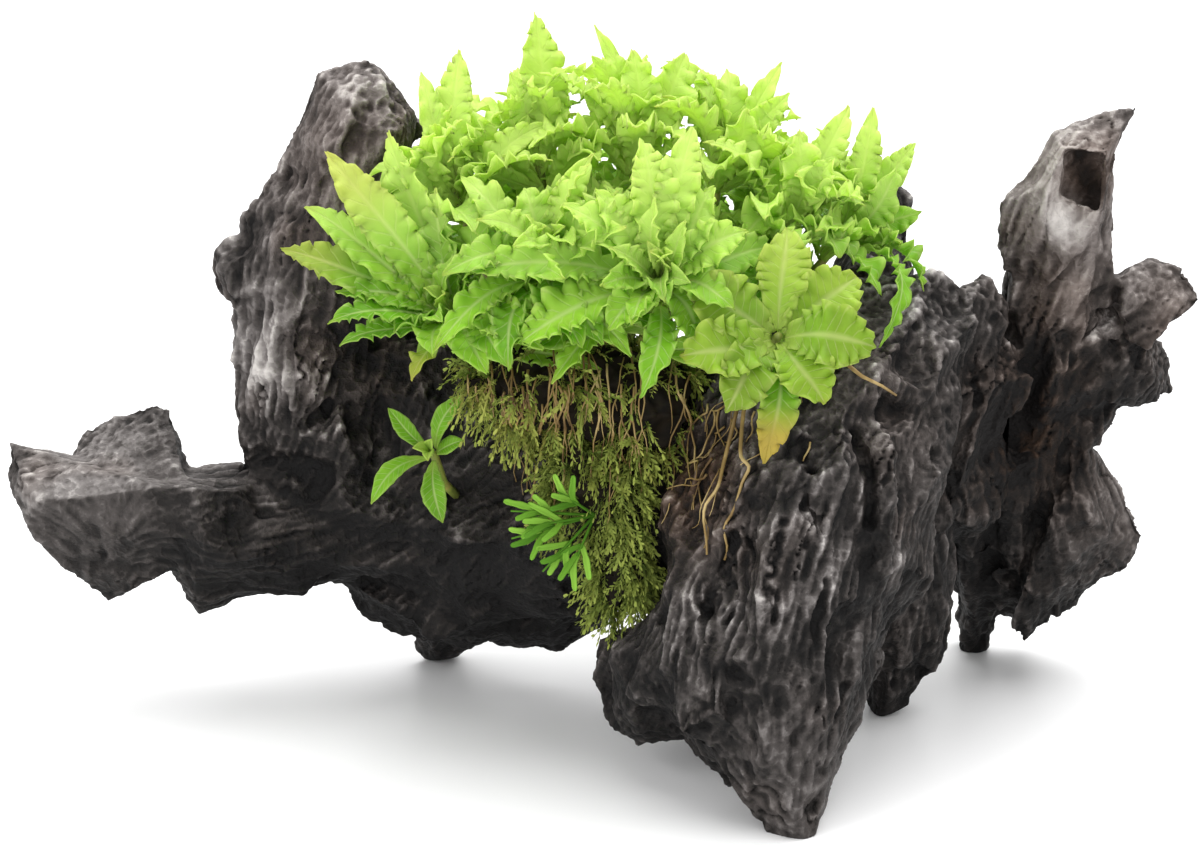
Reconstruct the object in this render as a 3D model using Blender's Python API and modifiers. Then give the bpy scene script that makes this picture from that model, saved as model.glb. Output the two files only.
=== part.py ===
# Downoi plants growing on a piece of driftwood.
# Lengths are in millimetres until a mesh is made: x to the right, y to the back, z up.

import math
import random

import bmesh
import bpy
import numpy as np
from mathutils import Matrix, Vector, noise
from mathutils.bvhtree import BVHTree

MM = 0.001
GAP = 0.3  # clearance kept between pieces that touch
SEED = 7

# Driftwood: each limb is a run of stations, as (x, y, z, radius) of the wood there.
LIMBS = {
    "heart": [(-34, 16, 41, 17), (-23, 14, 41, 20), (0, 6, 45, 22), (21, 12, 48, 25), (41, -10, 57, 26)],
    "heart_to_rim": [(21, 14, 50, 24), (52, 12, 62, 24), (70, 14, 66, 17)],
    "front_foot": [(41, -12, 58, 25), (34, -22, 43, 24), (31, -36, 27, 20), (34, -45, 14, 11.5),
                   (37.5, -53, -1.5, 3.6)],
    "trunk_top": [(41, -12, 58, 25), (50, -4, 71, 21), (60, 2, 80, 13)],
    "rim_left": [(62, 3, 72, 11), (67.5, 4, 88, 3)],
    "rim_right": [(70, 8, 68, 12), (76.5, 6, 88, 2.6)],
    "knob": [(26, -24, 36, 14), (12, -31, 24, 9), (8, -30, 14, 5), (8, -28, 9, 2)],
    "left_foot": [(-23, 14, 38, 17), (-27, 20, 23, 14), (-33, 28, 7, 6.5), (-34, 31, -1.5, 3.4)],
    "under_ledge": [(0, 8, 40, 15), (-8, 14, 18, 8), (-20, 18, 17, 8)],
    "under_lump": [(-38, 18, 33, 13), (-47, 20, 20, 6), (-43, 21, 17, 3)],
    "left_arm": [(-34, 16, 41, 16), (-46, 18, 35.5, 13), (-62, 16, 36.5, 13), (-77, 14, 36, 11),
                 (-92, 13, 39, 9), (-108, 12, 42, 7)],
    "left_spur": [(-46, 18, 36, 13), (-54, 20, 47, 17), (-57, 20, 62, 15), (-58, 18, 78, 13),
                  (-58.5, 16, 90, 13), (-52, 14, 106, 11.5), (-48.5, 12, 118, 10), (-47, 12, 125, 6)],
    "spur_shoulder": [(-55, 20, 66, 14), (-38, 24, 68, 13), (-23, 16, 48, 18)],
    "spur_crest": [(-47, 13, 121, 8), (-39, 18, 119, 4)],
    "spur_ledge": [(-62, 15, 90, 9), (-80, 14, 89.5, 1.6)],
    "back_ridge": [(-52, 24, 92, 11), (-38, 33, 101, 8), (-24, 32, 116, 2.8)],
    "back_spur": [(54, 24, 72, 14), (57.5, 26, 95, 6.5), (58, 26, 109, 2.8)],
    "back_spur_bump": [(58, 26, 97, 5), (64, 26, 102, 1.8)],
    "right_bridge": [(62, 14, 52, 20), (82, 22, 46, 14), (93, 25, 47, 11)],
    "right_limb": [(95, 26, 25, 11), (92.5, 25, 46, 10), (94, 22, 66, 11), (91, 18, 86, 8),
                   (90, 17, 96, 5)],
    "knuckle": [(94, 22, 74, 9), (108, 21, 80, 5)],
    "right_wedge": [(94, 25, 42, 10), (104, 24, 34, 6)],
    "middle_leg": [(55, 4, 42, 16), (62, 0, 28, 10), (63, 4, 13, 8), (60.5, 5, -1.5, 4)],
    "inner_leg": [(84, 24, 34, 12), (83, 28, 22, 8), (82.5, 33, 11, 5), (82.5, 38, -1.5, 3.4)],
    "outer_leg": [(95, 27, 28, 11), (92.5, 33, 15, 4.6), (93, 38, 2.5, 1.8)],
}
# Flat-faced stretches of the driftwood: each fills the space between its corners.
BLOCKS = {
    "arm_slab": [(-122, 15, 54.5), (-122, 11, 49.5), (-114.5, 1, 47), (-117.5, 6, 40), (-109.5, 7, 29),
                 (-103, 9, 21), (-99, 10, 23.5), (-113.5, 25, 47), (-83.5, -2, 50), (-84, 1, 34),
                 (-90, 8, 28), (-88.5, 25, 43), (-114, 22, 32), (-95.5, 24, 23)],
    "arm_fin": [(-108, 23, 54), (-98.5, 23, 56), (-93.5, 22, 60.5), (-90, 23, 59), (-87, 22, 47),
                (-84, 5, 48.5), (-109, 6, 47), (-110.5, 28, 42), (-88, 28, 42)],
    "arm_crease": [(-83.5, -2, 50.5), (-82.5, -4, 40.5), (-83.5, 6, 18.5), (-87, 9, 21), (-89, 10, 27.5),
                   (-75.5, 10, 21.5), (-71, 4, 49.5), (-70.5, 3, 33), (-75.5, 24, 48), (-86, 24, 46),
                   (-84.5, 20, 19.5), (-74.5, 24, 21.5)],
    "left_ledge": [(-51, 14, 26), (-50, 14, 17), (-43, 14, 14), (-34.5, 16, 8), (-27.5, 12, 8.5),
                   (-21, 8, 15.5), (-37, 4, 33), (-20.5, 2, 34), (-47, 26, 25), (-32.5, 28, 6)],
    "spur_top": [(-57.5, 14, 128), (-55.5, 14, 131), (-50.5, 14, 133.5), (-45.5, 13, 134),
                 (-41.5, 12, 132.5), (-36, 12, 123), (-64, 15, 113), (-59, 6, 112), (-49.5, 2, 125),
                 (-39, 4, 122.5), (-51, 22, 129), (-40, 22, 125), (-61, 24, 114)],
    "spur_slope": [(-81.5, 13, 91), (-76, 13, 97), (-62.5, 14, 116.5), (-53, 4, 110.5), (-73.5, 10, 88.5),
                   (-59.5, 2, 91), (-78, 12, 89.5), (-69.5, 24, 95.5), (-61.5, 24, 87)],
    "spur_side": [(-75, 12, 87), (-74, 12, 76.5), (-75.5, 13, 65.5), (-73.5, 12, 51), (-61.5, 3, 88.5),
                  (-60, 2, 72.5), (-62.5, 4, 54.5), (-74.5, 22, 72.5), (-74.5, 24, 50), (-63, 30, 63.5)],
    "knob_face": [(-0.5, -20, 25.5), (0, -24, 16.5), (0, -26, 8.5), (8, -28, 6.5), (15, -32, 9),
                  (17, -38, 28.5), (8, -26, 32), (2, -10, 18), (8, -14, 12), (18, -16, 14)],
    "horn_foot": [(79.5, 12, 94), (101, 10, 99), (105, 13, 92.5), (103, 12, 86), (98, 10, 79.5),
                  (84, 12, 80), (84, 22, 83.5), (105, 26, 86.5), (99.5, 26, 75.5)],
    "horn_side": [(81, 15, 90.5), (79.5, 14, 98.5), (80, 13, 105.5), (86.5, 13, 116.5), (91.5, 14, 121),
                  (91, 7, 117.5), (88.5, 6, 108), (87.5, 7, 98), (89, 8, 89.5), (87.5, 20, 115),
                  (81.5, 22, 98), (94, 20, 86)],
    "horn_hook": [(91.5, 14, 121), (96, 14, 123), (102, 13, 124.5), (106.5, 14, 126), (107.5, 15, 124.5),
                  (103.5, 12, 117), (100, 8, 117), (91, 7, 117.5), (93, 20, 117), (104, 18, 117.5)],
    "horn_rim": [(100, 8, 117), (103.5, 12, 116.5), (102, 12, 111), (101, 12, 107.5), (99, 9, 98),
                 (97, 8, 98.5), (102.5, 18, 106), (101.5, 18, 95)],
    "horn_back": [(91, 14, 117.5), (102, 14, 116.5), (100, 14, 97), (90.5, 14, 97), (92, 20, 116),
                  (103, 20, 115), (102, 22, 94.5), (92, 22, 94.5)],
    "horn_tongue": [(88.5, 8, 106), (94, 9, 109), (97, 8, 104.5), (96, 6, 99), (87.5, 6, 98),
                    (92, 8, 89.5), (91, 16, 95.5), (97.5, 16, 95.5)],
    "horn_flake": [(101, 13, 107.5), (105.5, 15, 102), (103, 14, 96.5), (100, 12, 97.5), (102.5, 20, 96.5)],
    "knuckle_top": [(104, 12, 88.5), (105.5, 15, 91), (111, 20, 93.5), (118, 20, 91.5), (120.5, 17, 89),
                    (123, 15, 85), (109.5, 10, 75.5), (104, 10, 83.5), (108.5, 26, 86.5), (121, 27, 84),
                    (112, 26, 73.5)],
    "knuckle_low": [(96.5, 11, 78), (104.5, 13, 82), (110, 12, 74.5), (114, 15, 69), (118, 20, 62),
                    (106, 12, 63.5), (96.5, 12, 64.5), (117, 24, 73), (120, 27, 62), (106, 28, 75),
                    (100.5, 26, 60.5)],
    "knuckle_neck": [(96, 13, 64), (106.5, 14, 62.5), (104, 14, 56), (98.5, 13, 55), (98.5, 28, 60),
                     (107, 27, 53.5)],
    "wedge_top": [(99, 14, 54.5), (105.5, 18, 48.5), (114, 22, 34), (112, 20, 32), (101, 10, 39.5),
                  (94.5, 10, 44), (100.5, 28, 49), (113, 30, 32.5)],
    "wedge_low": [(101, 10, 39.5), (112, 19, 32.5), (111, 20, 25.5), (100.5, 15, 25), (94.5, 13, 21),
                  (89.5, 15, 14.5), (89, 17, 8.5), (87, 16, 12.5), (90.5, 9, 35.5), (94.5, 10, 44),
                  (111.5, 30, 23), (92.5, 30, 14), (98.5, 32, 31.5)],
}
# Ribs: the main ridges of the weathered wood, each a line of points close under the bark.
RIB_RADIUS = 2.8
RIBS = {
    "patch_edge": [(15.5, -19, 61), (16.5, -35, 48.5), (14.5, -42, 35), (17, -49, 25.5)],
    "swirl": [(37.5, -38.5, 66), (26.5, -39, 56), (20, -39.5, 43), (19, -46, 34.5), (23.5, -53, 25)],
    "middle": [(36, -34, 72), (34.5, -43, 59.5), (31, -49, 45.5), (29.5, -53, 31.5), (32, -55.5, 19.5),
               (35, -55, 8)],
    "slit_left": [(45, -26, 77), (44, -37.5, 67), (42, -43, 51.5), (38.5, -50, 36), (37, -53.5, 24)],
    "slit_right": [(51, -24.5, 77.5), (53.5, -33, 65.5), (52.5, -38, 53.5), (48.5, -41, 38),
                   (45.5, -48.5, 25.5), (42, -50, 12)],
    "brow": [(67, 2, 91), (59, -10.5, 85.5), (52, -21.5, 80)],
    "rim_ridge": [(75.5, 7, 89.5), (67.5, -7.5, 82.5), (60, -18, 74.5), (62.5, -22.5, 62),
                  (58.5, -29.5, 49.5), (52.5, -38, 39.5)],
    "right_ridge": [(79.5, 6, 86), (74.5, 0, 71), (72.5, -1, 57), (68, -4, 43)],
    "log_top": [(-69.5, 12, 49), (-55, 4, 45.5), (-36.5, 3, 41.5), (-16, -10, 41)],
    "log_middle": [(-78, 0, 35), (-61, 3.5, 36), (-43, 6, 32.5), (-24.5, -1.5, 32.5), (-6, -9.5, 32)],
    "log_low": [(-48, 14, 23), (-35, 7, 18), (-20.5, 5, 21), (-4, -4, 27)],
    "spur_ridge": [(-47, 12, 130), (-51, 4, 120), (-54, 5, 108), (-67, 11, 96.5)],
    "back_left": [(-44, 31, 30), (-34, 33, 44), (-26, 33, 58), (-24, 26, 68)],
    "back_middle": [(-12, 25, 24), (-6, 28, 36), (2, 30, 48), (8, 28, 62)],
    "back_seam": [(10, 26, 30), (18, 31, 42), (26, 32, 54), (30, 31, 68)],
    "back_rim": [(36, 27, 36), (44, 30, 48), (50, 33, 62), (54, 34, 78)],
    "back_right": [(58, 27, 40), (66, 33, 50), (70, 32, 62), (72, 24, 76)],
    "back_edge": [(78, 33, 30), (80, 34, 44), (82, 34, 56), (84, 28, 68)],
    "back_of_spur": [(-48, 36, 60), (-58, 33, 76), (-56, 28, 96), (-48, 22, 116)],
}
STATION_SWELL = 1.1  # a station's ball is this much larger, because its facets cut inside its radius
STATION_JITTER = 0.16
WOOD_VOXEL = 1.2
WOOD_TRIANGLES = 1850
CUTTER_TRIANGLES = 600  # a plainer copy of the wood, which what grows on it is cut to fit
CUTTER_GAP = 2.0
SHARPEST = 8.0  # how many times further than its faces a corner may move when a surface is grown
GRAIN_BLEND = 4.0  # how far from a limb its grain still shows
GRAIN_PITCH = 9.0  # spacing of the grooves across the grain
GRAIN_STRETCH = 0.2  # how slowly the grooves change along the grain
GROOVE_DEPTH = 1.0
LUMP_PITCH = 17.0
LUMP_HEIGHT = 1.0
PIT_PITCH = 7.0
PIT_DEPTH = 6.0
PIT_THRESHOLD = 0.35  # only the strongest spots of the pattern become pits
PIT_PLACE = (31, 7, 5)  # where in the pattern the pits are taken from
FLOOR_BLOCK = (400, 60)  # width and depth of what the feet are cut off level with

# The forks where the driftwood is parted: a box that starts at a point and runs outwards.
FORKS = {
    "wood_left_arm": {"at": (-68, 14, 34), "towards": (-1, 0, 0), "width": 64, "reach": 70},
    "wood_left_spur": {"at": (-56, 20, 58), "towards": (0, 0, 1), "width": 92, "reach": 100},
    "wood_left_foot": {"at": (-31, 24, 13), "towards": (-0.25, 0.3, -1), "width": 27, "reach": 40},
    "wood_back_spur": {"at": (60, 34, 84), "towards": (0, 0, 1), "width": 36, "reach": 50},
    "wood_horn": {"at": (91, 16, 90), "towards": (0.2, 0, 1), "width": 30, "reach": 50},
    "wood_knuckle": {"at": (104, 22, 76), "towards": (1, 0, 0), "width": 46, "reach": 40},
    "wood_inner_leg": {"at": (80, 34, 16), "towards": (0, 0, -1), "width": 15, "reach": 30},
    "wood_outer_leg": {"at": (98, 34, 12), "towards": (0, 0, -1), "width": 19, "reach": 30},
    "wood_middle_leg": {"at": (62, 2, 19), "towards": (0, 0, -1), "width": 34, "reach": 40},
    "wood_right_limb": {"at": (83, 24, 50), "towards": (1, 0, 0), "width": 120, "reach": 60},
}

# Plants: every rosette grows out of the wood from near this point.
PLANT_FOCUS = (4, 2, 52)
BLADE = 0.8  # thickness of a leaf
INNER_BLADE = 1.0
STALK_SHARE = 0.16  # a leaf's width at its foot, as a share of its widest
LEAF_SKEW = 1.3  # above 1, a leaf is widest past its middle
LEAF_FOLD = 0.22  # how far the edges stand above the midrib, as a share of the half width
LEAF_WAVE = 0.09  # height of the crisped edge, as a share of the width
WAVES_PER_LEAF = 2.0
WAVE_LAG = 1.6  # how far the waves of the two edges are out of step
STEM_RADIUS = 1.0
CROWN_RADIUS = 2.7  # where the inner leaves leave the stem
STEM_ROOTING = 1.5  # how far a stem runs into the wood before it is cut to fit
LEAF_START = 4.4  # how far from the stem's middle an outer leaf begins
HEART_START = 0.7  # the share of the crown's radius at which an inner leaf begins
INNER_LEAVES = 6
INNER_REACH = 22.0
INNER_WIDTH = 10.0
INNER_BOW = 1.5
INNER_LEAN = (25, 85)  # degrees from the rosette's axis, of the first and the last inner leaf
GOLDEN_ANGLE = math.radians(137.5)
DRAW_BACK = 0.08  # the share of its length that a leaf gives up at a time
DRAW_BACKS = 9

# Rosettes: the centre, outer leaves as name: (tip, width, bow) and inner leaves as (tip, width).
ROSETTES = {
    "front": {
        "centre": (33, -32, 91),
        "outer": {
            "left": ((15, -38, 88.5), 8, 2.5),
            "low_left": ((22.5, -42, 80), 6, 2),
            "low": ((31, -43, 70), 7.5, 3),
            "low_right": ((41, -42, 81), 6, 2),
            "right": ((51, -37, 91), 9, 2.5),
            "high_right": ((48, -25, 101), 8, 2),
            "high": ((34.5, -24, 110), 6.5, 2),
            "high_left": ((16, -31, 101), 8, 2.5),
        },
        "inner": [((30, -45, 97), 4), ((37, -44, 98), 4), ((33, -42, 104), 4)],
    },
    "centre": {
        "centre": (11, -27, 100),
        "outer": {
            "left": ((-1, -25, 117), 8, 2),
            "right": ((22, -23, 117), 8, 2),
        },
        "inner": [((-2, -40, 93), 8), ((10, -42, 92), 7), ((10, -34, 118), 8), ((-5, -36, 101), 7),
                  ((23, -38, 104), 6)],
    },
    "left": {
        "centre": (-27, -15, 89),
        "outer": {
            "tall": ((-52, -7, 121), 6, 2.5),
            "long": ((-61, -14, 103), 8, 2.5),
            "side": ((-51, -25, 91.5), 6, 2),
            "low": ((-49.5, -19, 85), 4, 1.5),
            "hook": ((-35, -27, 81), 4, 2.5),
            "front": ((-21, -31, 84), 7.5, 2.5),
            "crest": ((-40, -3, 124), 8, 2),
        },
        "inner": [((-33, -25, 104), 6), ((-24, -28, 100), 6), ((-30, -12, 112), 7)],
    },
    "middle": {
        "centre": (-9, -19, 102),
        "outer": {},
        "inner": [((-7, -35, 88), 8), ((-22, -29, 104), 7), ((-10, -22, 122), 8), ((-17, -25, 114), 6),
                  ((-14, -34, 94), 6)],
    },
    "high_left": {
        "centre": (-28, -1, 110),
        "outer": {"tall": ((-28, 6, 138), 7, 2)},
        "inner": [((-35, 0, 133), 2.5), ((-17, 3, 133), 6), ((-40, 2, 118), 6), ((-24, -12, 125), 6),
                  ((-36, 8, 126), 6)],
    },
    "top_left": {
        "centre": (-12, 9, 114),
        "outer": {"tall": ((-12, 11, 144), 9, 1.5)},
        "inner": [((-1, 14, 140), 3), ((-4, 2, 130), 7), ((-20, 14, 132), 6), ((-12, -3, 128), 7)],
    },
    "top": {
        "centre": (6, 7, 118),
        "outer": {"tall": ((17, 11, 136), 9, 2)},
        "inner": [((6, 9, 138), 6), ((-2, 16, 132), 6), ((10, -6, 132), 7), ((2, -6, 128), 6)],
    },
    "top_right": {
        "centre": (24, 8, 114),
        "outer": {"tall": ((25, 13, 133), 6, 1.5)},
        "inner": [((36, 13, 133), 4), ((36, 4, 130), 5), ((20, -4, 130), 7), ((30, 20, 124), 6)],
    },
    "right": {
        "centre": (37, -6, 107),
        "outer": {},
        "inner": [((48, -1, 128), 5), ((52, 2, 125), 4), ((36, -14, 124), 8), ((48, -12, 113), 7),
                  ((42, -20, 108), 6)],
    },
    "far_right": {
        "centre": (47, 4, 100),
        "outer": {
            "high": ((62, 9, 119), 5.5, 2),
            "fork": ((63.5, 7, 106), 5, -1.5),
            "drooping": ((63, -5, 93), 7, 3.5),
        },
        "inner": [((52, 2, 117), 6), ((54, -8, 104), 5), ((55, 12, 112), 5)],
    },
    "back_left": {
        "centre": (-17, 28, 105),
        "outer": {},
        "inner": [((-24, 36, 124), 7), ((-12, 44, 110), 8), ((-8, 32, 128), 7), ((-26, 44, 106), 7),
                  ((-4, 44, 96), 7)],
    },
    "back_middle": {
        "centre": (6, 34, 106),
        "outer": {},
        "inner": [((4, 38, 128), 8), ((13, 49, 111), 7.5), ((-1, 50, 103), 7.5), ((18, 41, 121), 7),
                  ((8, 51, 93), 6.5)],
    },
    "back_right": {
        "centre": (29, 30, 102),
        "outer": {},
        "inner": [((30, 34, 124), 7), ((40, 42, 108), 8), ((26, 46, 100), 8), ((42, 28, 118), 7),
                  ((34, 46, 90), 7)],
    },
    "plantlet": {
        "centre": (-33, -8, 60),
        "outer": {
            "left": ((-45.5, -13, 52), 6, 2),
            "low": ((-31, -16, 48.5), 7, 2),
            "high_left": ((-42, -7, 69), 4.5, 1.5),
            "high": ((-27, -9, 73), 5.5, 1.5),
        },
        "inner": [((-20, -13, 67), 5), ((-24, -17, 58), 4), ((-38, -16, 62), 4)],
    },
}

# Moss cushions: (x, y, z) of the middle, then the half lengths along x, y and z.
MOSS_TRIANGLES = 120
MOSS_VOXEL = 1.5
MOSS_LUMP_HEIGHT = 2.0
MOSS_LUMP_PITCH = 5.0
MOSS = {
    "moss_upper": [((-8, -12, 76), (20, 13, 11)), ((8, -14, 72), (14, 11, 12))],
    "moss_lower": [((2, -17, 56), (13, 8, 14)), ((7, -22, 42), (8, 5, 13))],
}
SPRIG = {
    "centre": (-1, -24, 53),
    "heart": 1.8,
    "bow": 1.5,
    "outwards": (0, -1, 0.4),
    "tips": [((-17, -30, 56), 3.5), ((-17, -29, 50), 3.5), ((-11, -31, 44), 3.5), ((-8, -30, 60), 3)],
}
ROOT_RADIUS = 0.55
ROOT_CLEARANCE = ROOT_RADIUS + 4 * GAP  # from the bark to the middle of a root
ROOT_STEPS = 2  # points of a root between two of its route
ROOTS = {
    "root_left": [(-20, -30, 80), (-23, -32, 72), (-21, -30, 62), (-23, -30, 54)],
    "root_middle": [(18, -34, 80), (17, -36, 72), (20, -38, 64), (19, -38, 57), (22, -38, 50)],
    "root_curled": [(25, -36, 82), (24, -38, 74), (28, -38, 69), (27, -38, 62), (23, -38, 55),
                    (25, -38, 50)],
    "root_right": [(46, -32, 86), (49, -32, 83.5), (53, -30, 81), (56, -28, 78.5)],
}


def rgba(red, green, blue):
    return (red, green, blue, 1.0)


def material(name, colour, roughness):
    made = bpy.data.materials.new(name)
    made.use_nodes = True
    shader = made.node_tree.nodes["Principled BSDF"]
    shader.inputs["Base Color"].default_value = colour
    shader.inputs["Roughness"].default_value = roughness
    shader.inputs["Metallic"].default_value = 0.0
    made.diffuse_color = colour
    return made


def clear_scene():
    for obj in list(bpy.data.objects):
        bpy.data.objects.remove(obj, do_unlink=True)


def new_collection(name):
    made = bpy.data.collections.new(name)
    bpy.context.scene.collection.children.link(made)
    return made


def object_from(bm, name, collection):
    mesh = bpy.data.meshes.new(name)
    bm.to_mesh(mesh)
    bm.free()
    made = bpy.data.objects.new(name, mesh)
    collection.objects.link(made)
    return made


def evaluated_mesh(obj):
    bpy.context.view_layer.update()
    graph = bpy.context.evaluated_depsgraph_get()
    return bpy.data.meshes.new_from_object(obj.evaluated_get(graph))


def settle(obj):
    """Makes the result of an object's modifiers its own mesh."""
    mesh = evaluated_mesh(obj)
    obj.modifiers.clear()
    obj.data = mesh
    return obj


def combine(obj, other, operation, solver="EXACT"):
    """One Boolean, applied."""
    cut = obj.modifiers.new(operation.lower(), "BOOLEAN")
    cut.operation = operation
    cut.object = other
    cut.solver = solver
    return settle(obj)


def keep_largest_body(obj):
    """Leaves the body with the most volume, so that a cut leaves no chips."""
    bm = triangulated(obj.data)
    unseen = set(bm.verts)
    bodies = []
    while unseen:
        body = set()
        edge_of_body = [unseen.pop()]
        while edge_of_body:
            vert = edge_of_body.pop()
            body.add(vert)
            for edge in vert.link_edges:
                other = edge.other_vert(vert)
                if other in unseen:
                    unseen.discard(other)
                    edge_of_body.append(other)
        bodies.append(body)

    def volume(body):
        faces = {face for vert in body for face in vert.link_faces}
        return abs(sum(f.verts[0].co.cross(f.verts[1].co).dot(f.verts[2].co) for f in faces))

    bodies.sort(key=volume, reverse=True)
    bmesh.ops.delete(bm, geom=[v for body in bodies[1:] for v in body], context="VERTS")
    bm.to_mesh(obj.data)
    bm.free()
    return obj


def thin_out(obj, triangles):
    """Lowers the number of triangles to about what is asked for."""
    obj.data.calc_loop_triangles()
    thin = obj.modifiers.new("facets", "DECIMATE")
    thin.use_collapse_triangulate = True
    thin.ratio = min(1.0, triangles / len(obj.data.loop_triangles))
    return settle(obj)


def triangulated(mesh):
    bm = bmesh.new()
    bm.from_mesh(mesh)
    bmesh.ops.triangulate(bm, faces=bm.faces[:])
    bm.normal_update()
    return bm


def grow(bm, distance):
    """Moves a surface outwards by some millimetres, further at sharp corners so that its faces all clear."""
    moves = [vert.normal * min(vert.calc_shell_factor(), SHARPEST) * distance * MM for vert in bm.verts]
    for vert, move in zip(bm.verts, moves):
        vert.co += move


def inflated_copy(obj, distance, name, collection):
    """A helper copy with its surface moved outwards, for cutting with a clearance."""
    bm = triangulated(evaluated_mesh(obj))
    grow(bm, distance)
    made = object_from(bm, name, collection)
    made.hide_render = True
    made.display_type = "WIRE"
    return made


def tree_of(obj, inflate=0.0):
    """A search tree of an object's solid, in metres, grown by some millimetres."""
    bm = triangulated(evaluated_mesh(obj))
    grow(bm, inflate)
    tree = BVHTree.FromBMesh(bm)
    bm.free()
    return tree


def station_ball(bm, station, rng):
    """A rough faceted ball of wood at one station."""
    centre = Vector(station[:3]) * MM
    angle = rng.uniform(0, math.tau)
    axis = Vector((rng.random(), rng.random(), 1)).normalized()
    place = Matrix.Translation(centre) @ Matrix.Rotation(angle, 4, axis)
    radius = station[3] * STATION_SWELL * MM
    ball = bmesh.ops.create_icosphere(bm, subdivisions=1, radius=radius, matrix=place)
    for vert in ball["verts"]:
        vert.co = centre + (vert.co - centre) * (1 + rng.uniform(-STATION_JITTER, STATION_JITTER))


def add_hull(bm, corners):
    """A flat-faced block that fills the space between its corners."""
    block = bmesh.new()
    for corner in corners:
        block.verts.new(corner)
    hull = bmesh.ops.convex_hull(block, input=block.verts[:])
    inside = [item for item in hull["geom_interior"] if isinstance(item, bmesh.types.BMVert)]
    bmesh.ops.delete(block, geom=inside, context="VERTS")
    mesh = bpy.data.meshes.new("block")
    block.to_mesh(mesh)
    block.free()
    bm.from_mesh(mesh)
    bpy.data.meshes.remove(mesh)


def limb_chunk(bm, start, end, rng):
    """The rough block of wood between two stations."""
    chunk = bmesh.new()
    station_ball(chunk, start, rng)
    station_ball(chunk, end, rng)
    add_hull(bm, [vert.co for vert in chunk.verts])
    chunk.free()


def limb_segments():
    """Start, end and radius of every stretch between two stations."""
    rows = []
    for stations in LIMBS.values():
        for start, end in zip(stations, stations[1:]):
            rows.append((*start[:3], *end[:3], (start[3] + end[3]) / 2))
    return np.array(rows, dtype=float)


def grain_directions(points):
    """The direction of the grain at each point, in mm: that of the nearest limb."""
    rows = limb_segments()
    starts = rows[:, :3]
    along = rows[:, 3:6] - starts
    lengths = np.maximum(np.linalg.norm(along, axis=1), 1e-6)
    reach = points[:, None, :] - starts[None]
    share = np.clip((reach * along[None]).sum(2) / lengths**2, 0, 1)
    nearest = starts[None] + share[:, :, None] * along[None]
    apart = np.linalg.norm(points[:, None, :] - nearest, axis=2) - rows[:, 6]
    weight = np.exp(-(apart - apart.min(axis=1, keepdims=True)) / GRAIN_BLEND)
    upright = np.where(along[:, 2:3] < 0, -along, along) / lengths[:, None]
    mean = (weight[:, :, None] * upright[None]).sum(1)
    return mean / np.maximum(np.linalg.norm(mean, axis=1, keepdims=True), 1e-6)


def groove(obj):
    """Weathered grooves that run along the grain, and a few deeper pits."""
    mesh = obj.data
    points = np.array([vert.co[:] for vert in mesh.vertices]) / MM
    grain = grain_directions(points)
    normals = [vert.normal.copy() for vert in mesh.vertices]
    for vert, point, direction, normal in zip(mesh.vertices, points, grain, normals):
        place = Vector(point)
        run = Vector(direction)
        across = place + run * place.dot(run) * (GRAIN_STRETCH - 1)
        ridge = 1 - 2 * abs(noise.noise(across / GRAIN_PITCH))
        lump = noise.noise(place / LUMP_PITCH)
        pit = max(0.0, noise.noise(place / PIT_PITCH + Vector(PIT_PLACE)) - PIT_THRESHOLD)
        depth = GROOVE_DEPTH * (ridge - 0.5) + LUMP_HEIGHT * lump - PIT_DEPTH * pit
        vert.co += normal * depth * MM
    mesh.update()


def whole_driftwood(collection):
    rng = random.Random(SEED)
    bm = bmesh.new()
    for stations in LIMBS.values():
        for start, end in zip(stations, stations[1:]):
            limb_chunk(bm, start, end, rng)
    for line in RIBS.values():
        for start, end in zip(line, line[1:]):
            limb_chunk(bm, (*start, RIB_RADIUS), (*end, RIB_RADIUS), rng)
    for corners in BLOCKS.values():
        add_hull(bm, [Vector(corner) * MM for corner in corners])
    wood = object_from(bm, "wood_trunk", collection)
    remesh = wood.modifiers.new("one skin", "REMESH")
    remesh.mode = "VOXEL"
    remesh.voxel_size = WOOD_VOXEL * MM
    settle(wood)
    groove(wood)
    return keep_largest_body(thin_out(wood, WOOD_TRIANGLES))


def box_cutter(name, at, towards, width, reach, margin, collection):
    """A box whose near face is centred on a point, and which runs outwards from there."""
    out = Vector(towards).normalized()
    turn = Vector((0, 0, 1)).rotation_difference(out).to_matrix().to_4x4()
    middle = Vector(at) + out * (reach / 2)
    size = Vector((width + 2 * margin, width + 2 * margin, reach + 2 * margin))
    bm = bmesh.new()
    place = Matrix.Translation(middle * MM) @ turn @ Matrix.Diagonal((*(size * MM), 1))
    bmesh.ops.create_cube(bm, size=1.0, matrix=place)
    cutter = object_from(bm, name, collection)
    cutter.hide_render = True
    cutter.display_type = "WIRE"
    return cutter


def stand_on_floor(wood, cutters):
    """Cuts the tips of the feet off flat, level with the surface that the wood stands on."""
    floor = box_cutter("floor_cutter", (0, 0, 0), (0, 0, -1), *FLOOR_BLOCK, 0, cutters)
    combine(wood, floor, "DIFFERENCE")
    return keep_largest_body(wood)


def part_at_forks(wood, parts, cutters):
    """Parts the driftwood at its main forks, with a hairline gap at each."""
    limbs = []
    for name, fork in FORKS.items():
        limb = bpy.data.objects.new(name, wood.data.copy())
        parts.objects.link(limb)
        shape = (fork["at"], fork["towards"], fork["width"], fork["reach"])
        exact = box_cutter(f"{name}_cutter", *shape, 0, cutters)
        grown = box_cutter(f"{name}_gap_cutter", *shape, GAP, cutters)
        keep_largest_body(combine(limb, exact, "INTERSECT"))
        keep_largest_body(combine(wood, grown, "DIFFERENCE"))
        limbs.append(limb)
    return limbs + [wood]


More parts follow.
